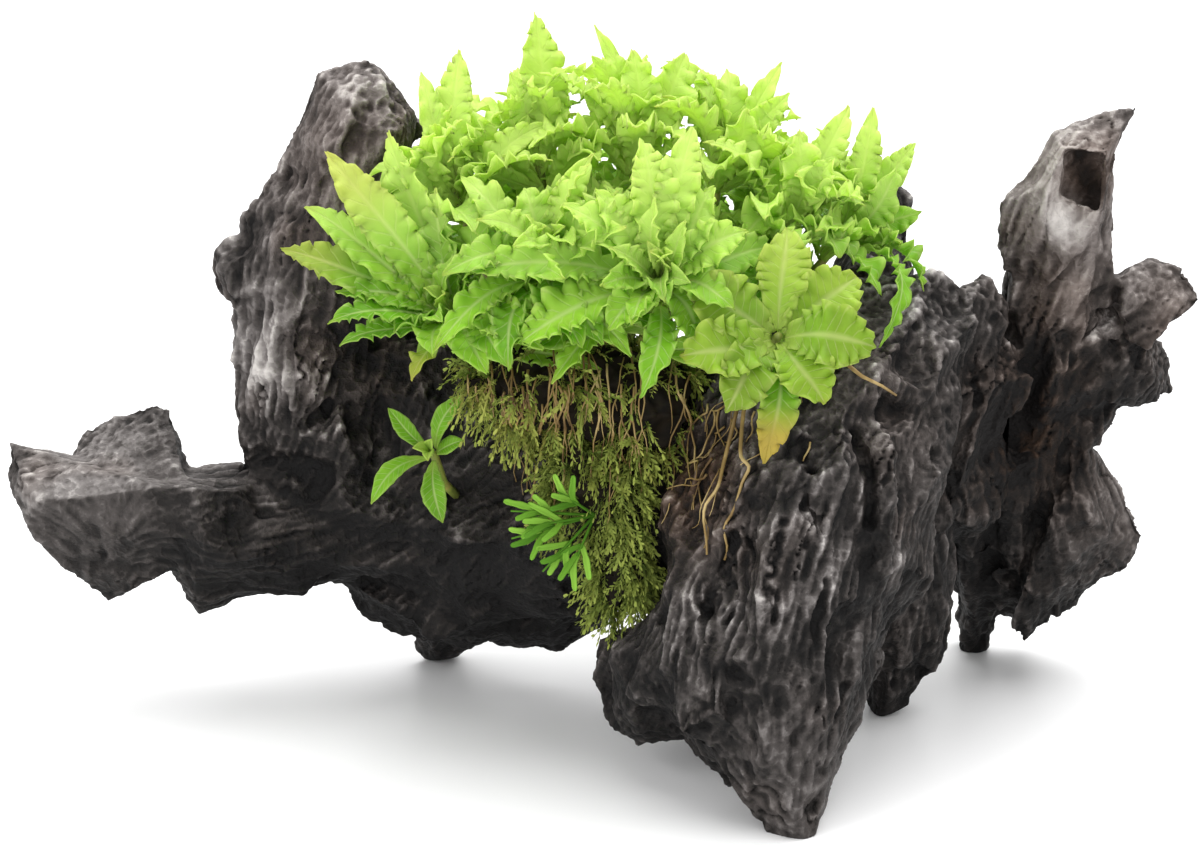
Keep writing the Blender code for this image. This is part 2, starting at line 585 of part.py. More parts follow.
def leaf_width(share):
    """A leaf's width along its length, as a share of its widest: a stalk, a broad blade and a point."""
    return STALK_SHARE + (1 - STALK_SHARE) * math.sin(math.pi * share**LEAF_SKEW)


def leaf_surface(base, tip, width, bow, outwards, columns, rows):
    """An arched, folded and slightly wavy blade from base to tip, as an open surface."""
    base = Vector(base)
    tip = Vector(tip)
    run = (tip - base).normalized()
    up = outwards - run * outwards.dot(run)
    up = up.normalized() if up.length > 1e-3 else run.orthogonal().normalized()
    side = run.cross(up)
    bm = bmesh.new()
    bmesh.ops.create_grid(bm, x_segments=columns, y_segments=rows, size=1.0)
    for vert in bm.verts:
        share = (vert.co.x + 1) / 2
        across = vert.co.y
        half = width / 2 * leaf_width(share)
        arch = 4 * bow * share * (1 - share)
        fold = LEAF_FOLD * half * abs(across)
        turn = math.tau * WAVES_PER_LEAF * share + WAVE_LAG * across
        wave = LEAF_WAVE * width * abs(across) * math.sin(turn)
        place = base.lerp(tip, share) + side * across * half + up * (arch + fold + wave)
        vert.co = place * MM
    return bm


def outwards_from_focus(centre):
    return (Vector(centre) - Vector(PLANT_FOCUS)).normalized()


def blade(name, base, tip, width, bow, outwards, columns, rows, thickness, collection):
    """One closed leaf: an open surface given the thickness of a blade."""
    bm = leaf_surface(base, tip, width, bow, outwards, columns, rows)
    leaf = object_from(bm, name, collection)
    thick = leaf.modifiers.new("blade", "SOLIDIFY")
    thick.thickness = thickness * MM
    thick.offset = 0.0
    return leaf


def outer_leaves(place, rosette, collection):
    """The leaves that stand out from a rosette, each starting just clear of its stem."""
    centre = Vector(rosette["centre"])
    outwards = outwards_from_focus(centre)
    leaves = []
    for direction, (tip, width, bow) in rosette["outer"].items():
        tip = Vector(tip)
        base = centre + (tip - centre).normalized() * LEAF_START
        name = f"leaf_{place}_{direction}"
        leaves.append(blade(name, base, tip, width, bow, outwards, 4, 2, BLADE, collection))
    return leaves


def stays_clear(obj, obstacles, margin):
    tree = tree_of(obj, margin)
    return not any(tree.overlap(other) for other in obstacles)


def stem(place, rosette, wood_tree, collection):
    """The stem of a rosette, from its centre down into the wood that it grows on."""
    centre = Vector(rosette["centre"])
    hit = wood_tree.ray_cast(centre * MM, -outwards_from_focus(centre))[0]
    root = (hit or wood_tree.find_nearest(centre * MM)[0]) / MM
    run = root + (root - centre).normalized() * STEM_ROOTING - centre
    turn = Vector((0, 0, 1)).rotation_difference(run.normalized()).to_matrix().to_4x4()
    bm = bmesh.new()
    bmesh.ops.create_cone(bm, cap_ends=True, segments=6, radius1=STEM_RADIUS * MM,
                          radius2=STEM_RADIUS * MM, depth=run.length * MM,
                          matrix=Matrix.Translation((centre + run / 2) * MM) @ turn)
    stalk = object_from(bm, f"crown_{place}", collection)
    bm = bmesh.new()
    bmesh.ops.create_icosphere(bm, subdivisions=1, radius=CROWN_RADIUS * MM,
                               matrix=Matrix.Translation(centre * MM) @ turn)
    heart = object_from(bm, f"heart_{place}", collection)
    combine(stalk, heart, "UNION", "MANIFOLD")
    bpy.data.objects.remove(heart, do_unlink=True)
    return stalk


def inner_tips(rosette, number_of_rosette):
    """The tips of the inner leaves: those given by hand, then a spiral that fills the rosette."""
    centre = Vector(rosette["centre"])
    outwards = outwards_from_focus(centre)
    side = outwards.orthogonal().normalized()
    other = outwards.cross(side)
    tips = [(Vector(tip), width) for tip, width in rosette["inner"]]
    for number in range(len(tips), INNER_LEAVES):
        turn = GOLDEN_ANGLE * number + number_of_rosette
        share = (number + 1) / INNER_LEAVES
        lean = math.radians(INNER_LEAN[0] + (INNER_LEAN[1] - INNER_LEAN[0]) * share)
        around = side * math.cos(turn) + other * math.sin(turn)
        reach = (outwards * math.cos(lean) + around * math.sin(lean)) * INNER_REACH
        tips.append((centre + reach, INNER_WIDTH))
    return tips


def crowns_of(stems, leaf_trees, wood_tree, wood_cutter, cutters):
    """Grows the inner leaves on every stem, each drawn back until it is clear of the other plants."""
    names = list(ROSETTES)
    tips = [inner_tips(rosette, number) for number, rosette in enumerate(ROSETTES.values())]
    grown = [[tree_of(one)] for one in stems]
    for turn in range(INNER_LEAVES):
        for number, place in enumerate(names):
            centre = Vector(ROSETTES[place]["centre"])
            tip, width = tips[number][turn]
            others = [tree for index, trees in enumerate(grown) if index != number for tree in trees]
            for attempt in range(DRAW_BACKS):
                reach = centre.lerp(tip, 1 - attempt * DRAW_BACK)
                base = centre + (reach - centre).normalized() * CROWN_RADIUS * HEART_START
                narrowed = width * (1 - attempt * DRAW_BACK / 2)
                leaf = blade(f"inner_{place}_{turn}", base, reach, narrowed, INNER_BOW,
                             outwards_from_focus(centre), 2, 1, INNER_BLADE, cutters)
                settle(leaf)
                if stays_clear(leaf, others + leaf_trees + [wood_tree], GAP):
                    grown[number].append(tree_of(leaf))
                    combine(stems[number], leaf, "UNION", "MANIFOLD")
                    bpy.data.objects.remove(leaf, do_unlink=True)
                    break
                bpy.data.objects.remove(leaf, do_unlink=True)
    return [keep_largest_body(combine(one, wood_cutter, "DIFFERENCE", "MANIFOLD")) for one in stems]


def moss_cushion(name, lumps, wood_cutters, neighbours, collection, cutters):
    """A lumpy cushion that lies on the wood and around the stems."""
    bm = bmesh.new()
    for centre, half in lumps:
        place = Matrix.Translation(Vector(centre) * MM) @ Matrix.Diagonal((*(Vector(half) * MM), 1))
        bmesh.ops.create_icosphere(bm, subdivisions=3, radius=1.0, matrix=place)
    moss = object_from(bm, name, collection)
    remesh = moss.modifiers.new("one skin", "REMESH")
    remesh.mode = "VOXEL"
    remesh.voxel_size = MOSS_VOXEL * MM
    settle(moss)
    for vert in moss.data.vertices:
        lump = noise.noise(vert.co / MM / MOSS_LUMP_PITCH)
        vert.co += vert.normal * MOSS_LUMP_HEIGHT * lump * MM
    thin_out(moss, MOSS_TRIANGLES)
    shells = [inflated_copy(other, GAP, f"{name}_{other.name}_cutter", cutters) for other in neighbours]
    for cutter in wood_cutters + shells:
        combine(moss, cutter, "DIFFERENCE", "MANIFOLD")
    return keep_largest_body(moss)


def sprig_of_fern(name, wood_cutter, collection, cutters):
    """A small ferny shoot that grows out beside the lower moss, its fronds in one piece."""
    centre = Vector(SPRIG["centre"])
    bm = bmesh.new()
    place = Matrix.Translation(centre * MM)
    bmesh.ops.create_icosphere(bm, subdivisions=1, radius=SPRIG["heart"] * MM, matrix=place)
    sprig = object_from(bm, name, collection)
    for number, (tip, width) in enumerate(SPRIG["tips"]):
        frond = blade(f"frond_{number}", centre, tip, width, SPRIG["bow"],
                      Vector(SPRIG["outwards"]), 2, 1, BLADE, cutters)
        combine(sprig, settle(frond), "UNION", "MANIFOLD")
        bpy.data.objects.remove(frond, do_unlink=True)
    combine(sprig, wood_cutter, "DIFFERENCE", "MANIFOLD")
    return keep_largest_body(sprig)


def root_tube(name, route, wood_tree, collection):
    """A thin root that hangs down over the bark."""
    curve = bpy.data.curves.new(name, "CURVE")
    curve.dimensions = "3D"
    curve.bevel_depth = ROOT_RADIUS * MM
    curve.bevel_resolution = 1
    curve.use_fill_caps = True
    points = []
    for start, end in zip(route, route[1:]):
        for step in range(ROOT_STEPS):
            points.append(Vector(start).lerp(Vector(end), step / ROOT_STEPS))
    points.append(Vector(route[-1]))
    spline = curve.splines.new("POLY")
    spline.points.add(len(points) - 1)
    for item, point in zip(spline.points, points):
        near, normal, _, _ = wood_tree.find_nearest(point * MM)
        item.co = (*(near + normal * ROOT_CLEARANCE * MM), 1)
    made = bpy.data.objects.new(name, curve)
    collection.objects.link(made)
    return made


def centre_on_origin(objects):
    """Puts the middle of the whole thing over the origin."""
    low = Vector((math.inf,) * 3)
    high = Vector((-math.inf,) * 3)
    for obj in objects:
        for vert in evaluated_mesh(obj).vertices:
            low = Vector(map(min, low, vert.co))
            high = Vector(map(max, high, vert.co))
    shift = Matrix.Translation((-(low.x + high.x) / 2, -(low.y + high.y) / 2, 0))
    for obj in objects:
        obj.data.transform(shift)
    print("size mm", [round(side / MM, 1) for side in high - low], "shift", shift.translation / MM)


def main():
    clear_scene()
    parts = new_collection("downoi_on_driftwood")
    cutters = new_collection("cutters")
    bark = material("driftwood", rgba(0.07, 0.055, 0.05), 0.7)
    leaf_green = material("downoi_leaf", rgba(0.22, 0.55, 0.04), 0.5)
    moss_green = material("moss", rgba(0.06, 0.1, 0.02), 0.9)
    fern_green = material("fern", rgba(0.1, 0.25, 0.03), 0.7)
    root_tan = material("root", rgba(0.35, 0.22, 0.1), 0.7)

    wood = whole_driftwood(parts)
    stand_on_floor(wood, cutters)
    wood_tree = tree_of(wood)
    wood_cutter = inflated_copy(wood, GAP, "wood_cutter", cutters)
    plain_wood = inflated_copy(wood, CUTTER_GAP, "plain_wood_cutter", cutters)
    thin_out(plain_wood, CUTTER_TRIANGLES)

    stems = [stem(place, rosette, wood_tree, parts) for place, rosette in ROSETTES.items()]
    leaves = []
    for place, rosette in ROSETTES.items():
        leaves += outer_leaves(place, rosette, parts)
    leaf_trees = [tree_of(leaf) for leaf in leaves]
    crowns = crowns_of(stems, leaf_trees, wood_tree, wood_cutter, cutters)

    sprig = sprig_of_fern("fern_sprig", wood_cutter, parts, cutters)
    cushions = []
    for name, lumps in MOSS.items():
        neighbours = crowns + leaves + [sprig] + cushions
        cushions.append(moss_cushion(name, lumps, [plain_wood, wood_cutter], neighbours, parts, cutters))

    roots = [root_tube(name, route, wood_tree, parts) for name, route in ROOTS.items()]
    woods = part_at_forks(wood, parts, cutters)

    finishes = ((woods, bark), (leaves + crowns, leaf_green), (cushions, moss_green),
                ([sprig], fern_green), (roots, root_tan))
    for group, finish in finishes:
        for obj in group:
            obj.data.materials.clear()
            obj.data.materials.append(finish)
    centre_on_origin(woods + leaves + crowns + [sprig] + cushions + roots)


main()
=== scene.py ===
import math
import random

import bmesh
import bpy
import numpy as np
from mathutils import Matrix, Vector
from mathutils.bvhtree import BVHTree


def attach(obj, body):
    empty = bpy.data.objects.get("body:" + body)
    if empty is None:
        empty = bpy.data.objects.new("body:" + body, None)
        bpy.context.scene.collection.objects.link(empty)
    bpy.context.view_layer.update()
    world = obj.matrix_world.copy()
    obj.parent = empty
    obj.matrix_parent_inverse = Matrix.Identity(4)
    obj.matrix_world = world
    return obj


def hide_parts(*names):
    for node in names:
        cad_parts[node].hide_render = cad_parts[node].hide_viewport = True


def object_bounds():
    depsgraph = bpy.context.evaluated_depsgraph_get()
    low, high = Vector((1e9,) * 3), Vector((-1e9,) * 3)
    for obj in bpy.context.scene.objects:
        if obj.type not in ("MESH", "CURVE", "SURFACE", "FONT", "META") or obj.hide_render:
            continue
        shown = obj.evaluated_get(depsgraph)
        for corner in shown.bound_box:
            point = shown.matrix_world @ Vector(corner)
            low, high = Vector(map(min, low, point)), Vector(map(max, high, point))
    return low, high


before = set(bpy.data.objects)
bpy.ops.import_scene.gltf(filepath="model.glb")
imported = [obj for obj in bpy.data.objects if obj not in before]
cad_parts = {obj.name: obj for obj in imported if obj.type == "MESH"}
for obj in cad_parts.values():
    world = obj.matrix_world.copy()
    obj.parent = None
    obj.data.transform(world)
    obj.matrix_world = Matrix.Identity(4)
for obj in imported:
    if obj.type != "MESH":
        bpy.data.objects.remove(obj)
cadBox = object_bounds()
mm = 0.001
print("frame loaded")


# Places below are written in mm from a point under the middle of the wood, and this moves them to the frame.
fromWoodToFrame = np.array((-0.23, 2.87, 0.0))


def srgb(hexText):
    # an sRGB hex value as the linear colour that shaders take
    parts = [int(hexText[i:i + 2], 16) / 255 for i in (1, 3, 5)]
    linear = [p / 12.92 if p <= 0.04045 else ((p + 0.055) / 1.055) ** 2.4 for p in parts]
    return (*linear, 1.0)


def addNode(tree, kind, settings=None, inputs=None, output=0):
    # one node with its settings, its fixed inputs and its links; "stops" are a ramp's colours
    node = tree.nodes.new("ShaderNode" + kind)
    for name, value in (settings or {}).items():
        if name == "stops":
            ramp = node.color_ramp
            while len(ramp.elements) < len(value):
                ramp.elements.new(1.0)
            for element, (position, colour) in zip(ramp.elements, value):
                element.position = position
                element.color = srgb(colour)
        else:
            setattr(node, name, value)
    for name, value in (inputs or {}).items():
        if isinstance(value, bpy.types.NodeSocket):
            tree.links.new(value, node.inputs[name])
        else:
            node.inputs[name].default_value = value
    return node.outputs[output] if node.outputs else None


def newMaterial(name):
    made = bpy.data.materials.new(name)
    made.use_nodes = True
    made.node_tree.nodes.clear()
    return made, made.node_tree


def endMaterial(tree, shader):
    addNode(tree, "OutputMaterial", inputs={"Surface": shader})


def deselectAll():
    for other in bpy.context.selected_objects:
        other.select_set(False)


def activate(obj):
    deselectAll()
    obj.select_set(True)
    bpy.context.view_layer.objects.active = obj


def shadeSmooth(obj):
    activate(obj)
    bpy.ops.object.shade_smooth()


def applyModifier(obj, kind, **settings):
    activate(obj)
    modifier = obj.modifiers.new(kind.lower(), kind)
    for name, value in settings.items():
        setattr(modifier, name, value)
    bpy.ops.object.modifier_apply(modifier=modifier.name)


def pointsOf(mesh, kind="co"):
    # every point's place in metres, or its normal
    flat = np.empty(len(mesh.vertices) * 3, np.float32)
    mesh.vertices.foreach_get(kind, flat)
    return flat.reshape(-1, 3)


def movePoints(mesh, places):
    mesh.vertices.foreach_set("co", np.asarray(places, np.float32).ravel())
    mesh.update()


def writeValues(mesh, name, values):
    attribute = mesh.attributes.get(name) or mesh.attributes.new(name, "FLOAT", "POINT")
    attribute.data.foreach_set("value", np.asarray(values, np.float32))


def joinAll(objects, name):
    activate(objects[0])
    for obj in objects:
        obj.select_set(True)
    bpy.ops.object.join()
    joined = bpy.context.object
    joined.name = name
    joined.data.name = name
    return joined


def addObject(name, data):
    made = bpy.data.objects.new(name, data)
    bpy.context.scene.collection.objects.link(made)
    return made


def objectFrom(bm, name):
    mesh = bpy.data.meshes.new(name)
    bm.to_mesh(mesh)
    bm.free()
    return addObject(name, mesh)


def mergeDoubles(mesh):
    bm = bmesh.new()
    bm.from_mesh(mesh)
    bmesh.ops.remove_doubles(bm, verts=bm.verts[:], dist=1e-6)
    bm.to_mesh(mesh)
    bm.free()


def trianglesOf(mesh):
    mesh.calc_loop_triangles()
    faces = np.empty(len(mesh.loop_triangles) * 3, np.int32)
    mesh.loop_triangles.foreach_get("vertices", faces)
    return faces.reshape(-1, 3)


def treeOf(mesh):
    faces = [tuple(face.vertices) for face in mesh.polygons]
    return BVHTree.FromPolygons([tuple(point) for point in pointsOf(mesh)], faces)


def rideAndReplace(piece, nodes):
    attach(piece, "root")
    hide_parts(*nodes)


def unit(vectors):
    return vectors / np.maximum(np.linalg.norm(vectors, axis=-1, keepdims=True), 1e-9)


def smoothStep(low, high, values):
    share = np.clip((values - low) / (high - low), 0, 1)
    return share * share * (3 - 2 * share)


# Noise and grain

noiseDice = np.random.default_rng(11)
shuffled = noiseDice.permutation(256)
slopes = unit(noiseDice.normal(size=(256, 3))).astype(np.float32)


def softNoise(points):
    # smooth noise of about -1 to 1, one swell to each whole unit
    cell = np.floor(points).astype(np.int64)
    inside = (points - cell).astype(np.float32)
    fade = inside ** 3 * (inside * (inside * 6 - 15) + 10)
    total = np.zeros(len(points), np.float32)
    for dx in (0, 1):
        column = shuffled[(cell[:, 0] + dx) & 255] + cell[:, 1]
        for dy in (0, 1):
            row = shuffled[(column + dy) & 255] + cell[:, 2]
            for dz in (0, 1):
                slope = slopes[shuffled[(row + dz) & 255]]
                rise = ((inside - np.array((dx, dy, dz), np.float32)) * slope).sum(1)
                share = np.abs(1 - dx - fade[:, 0]) * np.abs(1 - dy - fade[:, 1])
                total += rise * share * np.abs(1 - dz - fade[:, 2])
    return total * 1.7


def scoops(points, pitch, place):
    # shallow bowls that meet in crisp crests: near 0 in the middle of a bowl, up to about 1 on its rim
    spot = points / pitch + place * 5.3
    cell = np.floor(spot).astype(np.int64)
    nearest = np.full(len(points), 9.0)
    for dx in (-1, 0, 1):
        for dy in (-1, 0, 1):
            for dz in (-1, 0, 1):
                near = cell + (dx, dy, dz)
                key = shuffled[(shuffled[near[:, 0] & 255] + near[:, 1]) & 255]
                key = shuffled[(key + near[:, 2]) & 255]
                apart = spot - near - 0.5 - 0.45 * slopes[key]
                nearest = np.minimum(nearest, (apart * apart).sum(1))
    return nearest


# The grain runs along these lines through the wood, in mm, and bends round the knots.
grainLines = {
    "heart": [(-34, 16, 41), (0, 6, 45), (41, -10, 57)],
    "rim": [(30, 10, 40), (58, 8, 66), (66, 6, 90)],
    "frontFoot": [(46, -6, 80), (36, -22, 45), (33, -40, 20), (37, -53, 0)],
    "knob": [(26, -24, 40), (12, -31, 24), (8, -30, 10)],
    "leftFoot": [(-23, 14, 36), (-27, 20, 22), (-34, 31, 0)],
    "leftArm": [(-34, 16, 40), (-62, 16, 36), (-99, 10, 42), (-120, 6, 50)],
    "leftSpur": [(-46, 18, 36), (-57, 20, 62), (-58, 16, 90), (-47, 12, 125)],
    "shoulder": [(-55, 20, 66), (-38, 24, 68), (-23, 16, 48)],
    "backSpur": [(54, 24, 70), (58, 26, 109)],
    "bridge": [(62, 14, 52), (82, 22, 46), (93, 25, 50)],
    "rightLimb": [(96, 26, 20), (92, 25, 46), (94, 22, 66), (90, 16, 98), (107, 14, 125)],
    "knuckle": [(94, 22, 74), (106, 22, 80), (118, 16, 86)],
    "wedge": [(94, 25, 42), (113, 24, 32)],
    "middleLeg": [(55, 4, 42), (62, 0, 28), (60, 5, 0)],
    "innerLeg": [(84, 24, 34), (82, 33, 0)],
}
# Knots: the place, the radius, and the direction that the knot faces.
knots = [
    ((22, -42, 44), 4.0, (0, -1, 0.1)), ((24, -33, 66), 4.0, (-0.3, -1, 0.2)),
    ((-75, 2, 43), 3.0, (0, -1, 0)), ((-57, 4, 78), 4.0, (0, -1, 0)), ((64, -20, 64), 4.0, (0.5, -1, 0.3)),
    ((-10, -8, 36), 4.0, (0, -1, -0.2)), ((10, 26, 50), 6.0, (0, 1, 0)), ((-50, 36, 60), 5.0, (0, 1, 0)),
    ((60, 32, 56), 5.5, (0.2, 1, 0)), ((96, 36, 50), 4.0, (0.3, 1, 0)), ((-90, 24, 42), 4.0, (0, 1, 0)),
]
grainGrid = {"pitch": 3.0, "margin": 12.0, "blend": 6.0}


def inFrame(place):
    # a place of the wood's measures in mm, as one in the frame
    return np.array(place, float) + fromWoodToFrame


def grainField():
    # the direction of the grain on a grid of points, worked out once
    low = np.array(cadBox[0]) / mm - grainGrid["margin"]
    high = np.array(cadBox[1]) / mm + grainGrid["margin"]
    counts = np.ceil((high - low) / grainGrid["pitch"]).astype(int) + 1
    axes = [low[i] + grainGrid["pitch"] * np.arange(counts[i]) for i in range(3)]
    points = np.stack(np.meshgrid(*axes, indexing="ij"), axis=-1).reshape(-1, 3)
    stretches = [(a, b) for line in grainLines.values() for a, b in zip(line, line[1:])]
    total = np.zeros_like(points)
    apart = []
    runs = []
    for start, end in stretches:
        start = inFrame(start)
        run = inFrame(end) - start
        share = np.clip(((points - start) @ run) / (run @ run), 0, 1)
        apart.append(np.linalg.norm(points - start - share[:, None] * run, axis=1))
        run = run / np.linalg.norm(run)
        runs.append(run if run @ np.array((0.35, -0.2, 1.0)) > 0 else -run)
    nearest = np.min(apart, axis=0)
    for distance, run in zip(apart, runs):
        total += np.exp(-(distance - nearest) / grainGrid["blend"])[:, None] * run
    field = unit(total)
    for place, radius, facing in knots:
        facing = unit(np.array(facing, float))
        away = points - inFrame(place)
        reach = away - (away @ facing)[:, None] * facing
        distance = np.maximum(np.linalg.norm(reach, axis=1), 1e-6)
        outwards = reach / distance[:, None]
        depth = np.linalg.norm(away, axis=1)
        near = np.exp(-np.maximum(depth - 3 * radius, 0) / radius)[:, None]
        push = np.minimum((radius / distance) ** 2, 1.0)[:, None] * near
        field = unit(field - push * (2 * (field * outwards).sum(1)[:, None] * outwards - field))
    return low, field.reshape(*counts, 3).astype(np.float32)


grainLow, grainTable = grainField()


def grainAt(points):
    # the grain's direction at each point, between the grid's
    spot = (points - grainLow) / grainGrid["pitch"]
    spot = np.clip(spot, 0, np.array(grainTable.shape[:3]) - 1.001)
    cell = spot.astype(np.int64)
    part = (spot - cell).astype(np.float32)
    total = 0
    for dx in (0, 1):
        for dy in (0, 1):
            for dz in (0, 1):
                share = np.abs(1 - dx - part[:, 0]) * np.abs(1 - dy - part[:, 1])
                share = share * np.abs(1 - dz - part[:, 2])
                corner = grainTable[cell[:, 0] + dx, cell[:, 1] + dy, cell[:, 2] + dz]
                total = total + corner * share[:, None]
    return unit(total)


def combedNoise(points, pitch, reach, place):
    # noise averaged along the grain to both sides of each point, which leaves streaks; its spread is 1
    step = 0.7 * pitch
    shift = np.array((place * 7.3, place * 3.1, place * 5.7))
    total = softNoise(points / pitch + shift)
    for way in (1, -1):
        spot = points.copy()
        before = grainAt(spot) * way
        for tap in range(max(1, round(reach / step))):
            spot = spot + before * step
            grain = grainAt(spot)
            before = grain * np.sign((grain * before).sum(1, keepdims=True) + 1e-9)
            total += softNoise(spot / pitch + shift) * (1 - 0.5 * tap * step / reach)
    return total / total.std()


# Driftwood

woodNodes = sorted(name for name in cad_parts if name.startswith("wood_"))
woodPlan = {
    "voxel": 0.54,
    "closing": 0.3,  # closes the hairline gaps at the forks
    "rounding": 2,
    "flutes": 0.24,
    "fibres": 0.17,
    "fineFibres": 0.11,
    "cracks": 1.1,
    "pits": 1.0,
    "ledges": 0.9,
    "swells": 0.3,
    "sunk": 0.75,  # the whole skin is lowered by this, so that the ridges end at the CAD's form
    "chippedFaces": (9.5, 1.35),  # pitch and depth of the flat chips that the wood has broken into
    "smallChips": (3.4, 0.5),
    "footBand": 1.5,  # the relief fades out this far above the floor
}
# Streaks and spots that follow the grain: how far apart, and how far each runs along the grain, in mm.
woodStreaks = {
    "flute": (6.5, 16), "fibre": (2.4, 8), "fine": (1.15, 6), "crack": (4.6, 20), "chip": (6.0, 5),
    "pit": (4.2, 3),
}
# Where the relief is calmer (below 0) or rougher: the place in mm, the reach, and the change.
reliefChanges = [
    ((-104, 0, 44), 26, -0.5), ((-62, 6, 34), 22, -0.2), ((-20, 4, 28), 26, -0.4),
    ((96, 10, 108), 18, -0.55), ((-68, 6, 72), 14, 0.9), ((-46, 6, 118), 14, -0.1),
    ((34, -48, 12), 14, -0.5), ((64, 4, 92), 12, 0.5), ((30, -40, 50), 18, 0.5), ((114, 14, 82), 12, -0.4),
    ((104, 16, 32), 14, -0.5), ((70, -16, 62), 12, -0.5), ((-98, 6, 58), 15, -0.5),
]
# Feet that end in a ragged point: their lowest place in mm, how far round it, and the rise of the rest.
pointedFeet = [((58, 2, 0), 12, 0.5), ((81, 35.5, 0), 10, 0.3), ((-36, 32, 0), 12, 0.4)]
# Holes, slits and hollows that the photo shows: their line in mm, reach, depth and how much painted shade
# darkens them.
carvings = {
    "armPit": ([(-75.6, 2.6, 43.4)], 2.6, 2.6, 0.35),
    "armEdge": ([(-83.6, 2, 51), (-84, 2, 36), (-85, 4, 22)], 1.8, 0.8, 0.1),
    "spurHole": ([(-48.4, 6.4, 61.4)], 4.2, 3.6, 0.4),
    "spurPits": ([(-60, 4, 68), (-62, 3, 74), (-64, 3, 82)], 2.4, 1.8, 0.15),
    "spurGroove": ([(-43, 6, 130), (-50, 3, 118), (-58, 2, 104)], 2.4, 1.5, 0.1),
    "joinHollow": ([(-64.8, 7.5, 53.1), (-56, 4, 52)], 4.0, 2.4, 0.3),
    "hornRecess": ([(96, 12, 115), (98, 12, 109), (99, 12, 101)], 4.0, 1.0, 0.75),
    "hornSeam": ([(90, 6, 110), (88, 7, 102), (90, 8, 96)], 1.0, 0.8, 0.2),
    "frontSlit": ([(48.5, -31, 72), (51, -36, 65), (50.8, -39.4, 57)], 2.2, 3.0, 0.4),
    "frontLine": ([(39.3, -38.6, 72), (39.7, -41.5, 56)], 1.0, 2.2, 0.3),
    "frontKnot": ([(64.5, -20.4, 64.4)], 2.4, 1.8, 0.3),
    "knobHollow": ([(24.5, -52.6, 32.3)], 2.6, 1.8, 0.3),
    "frontHollow": ([(23.7, -40.7, 48.8), (21, -40, 42)], 3.6, 1.6, 0.15),
    "rightCleft": ([(86.9, 8, 80), (86, 11.5, 57), (82.1, 8.1, 40.3), (81.6, 18, 22)], 5.2, 4.2, 0.3),
    "knuckleFold": ([(104, 12, 88), (105, 13, 74)], 1.8, 2.0, 0.25),
}


def wholeDriftwood():
    # the CAD's limbs, each a little fuller, grown together in one even skin
    bm = bmesh.new()
    for name in woodNodes:
        one = bmesh.new()
        one.from_mesh(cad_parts[name].data)
        bmesh.ops.remove_doubles(one, verts=one.verts[:], dist=1e-6)
        one.normal_update()
        moves = [vert.normal * woodPlan["closing"] * mm for vert in one.verts]
        for vert, move in zip(one.verts, moves):
            vert.co += move
        mesh = bpy.data.meshes.new("limb")
        one.to_mesh(mesh)
        one.free()
        bm.from_mesh(mesh)
        bpy.data.meshes.remove(mesh)
    wood = objectFrom(bm, "driftwood")
    applyModifier(wood, "REMESH", mode="VOXEL", voxel_size=woodPlan["voxel"] * mm)
    applyModifier(wood, "SMOOTH", factor=0.5, iterations=woodPlan["rounding"])
    return wood


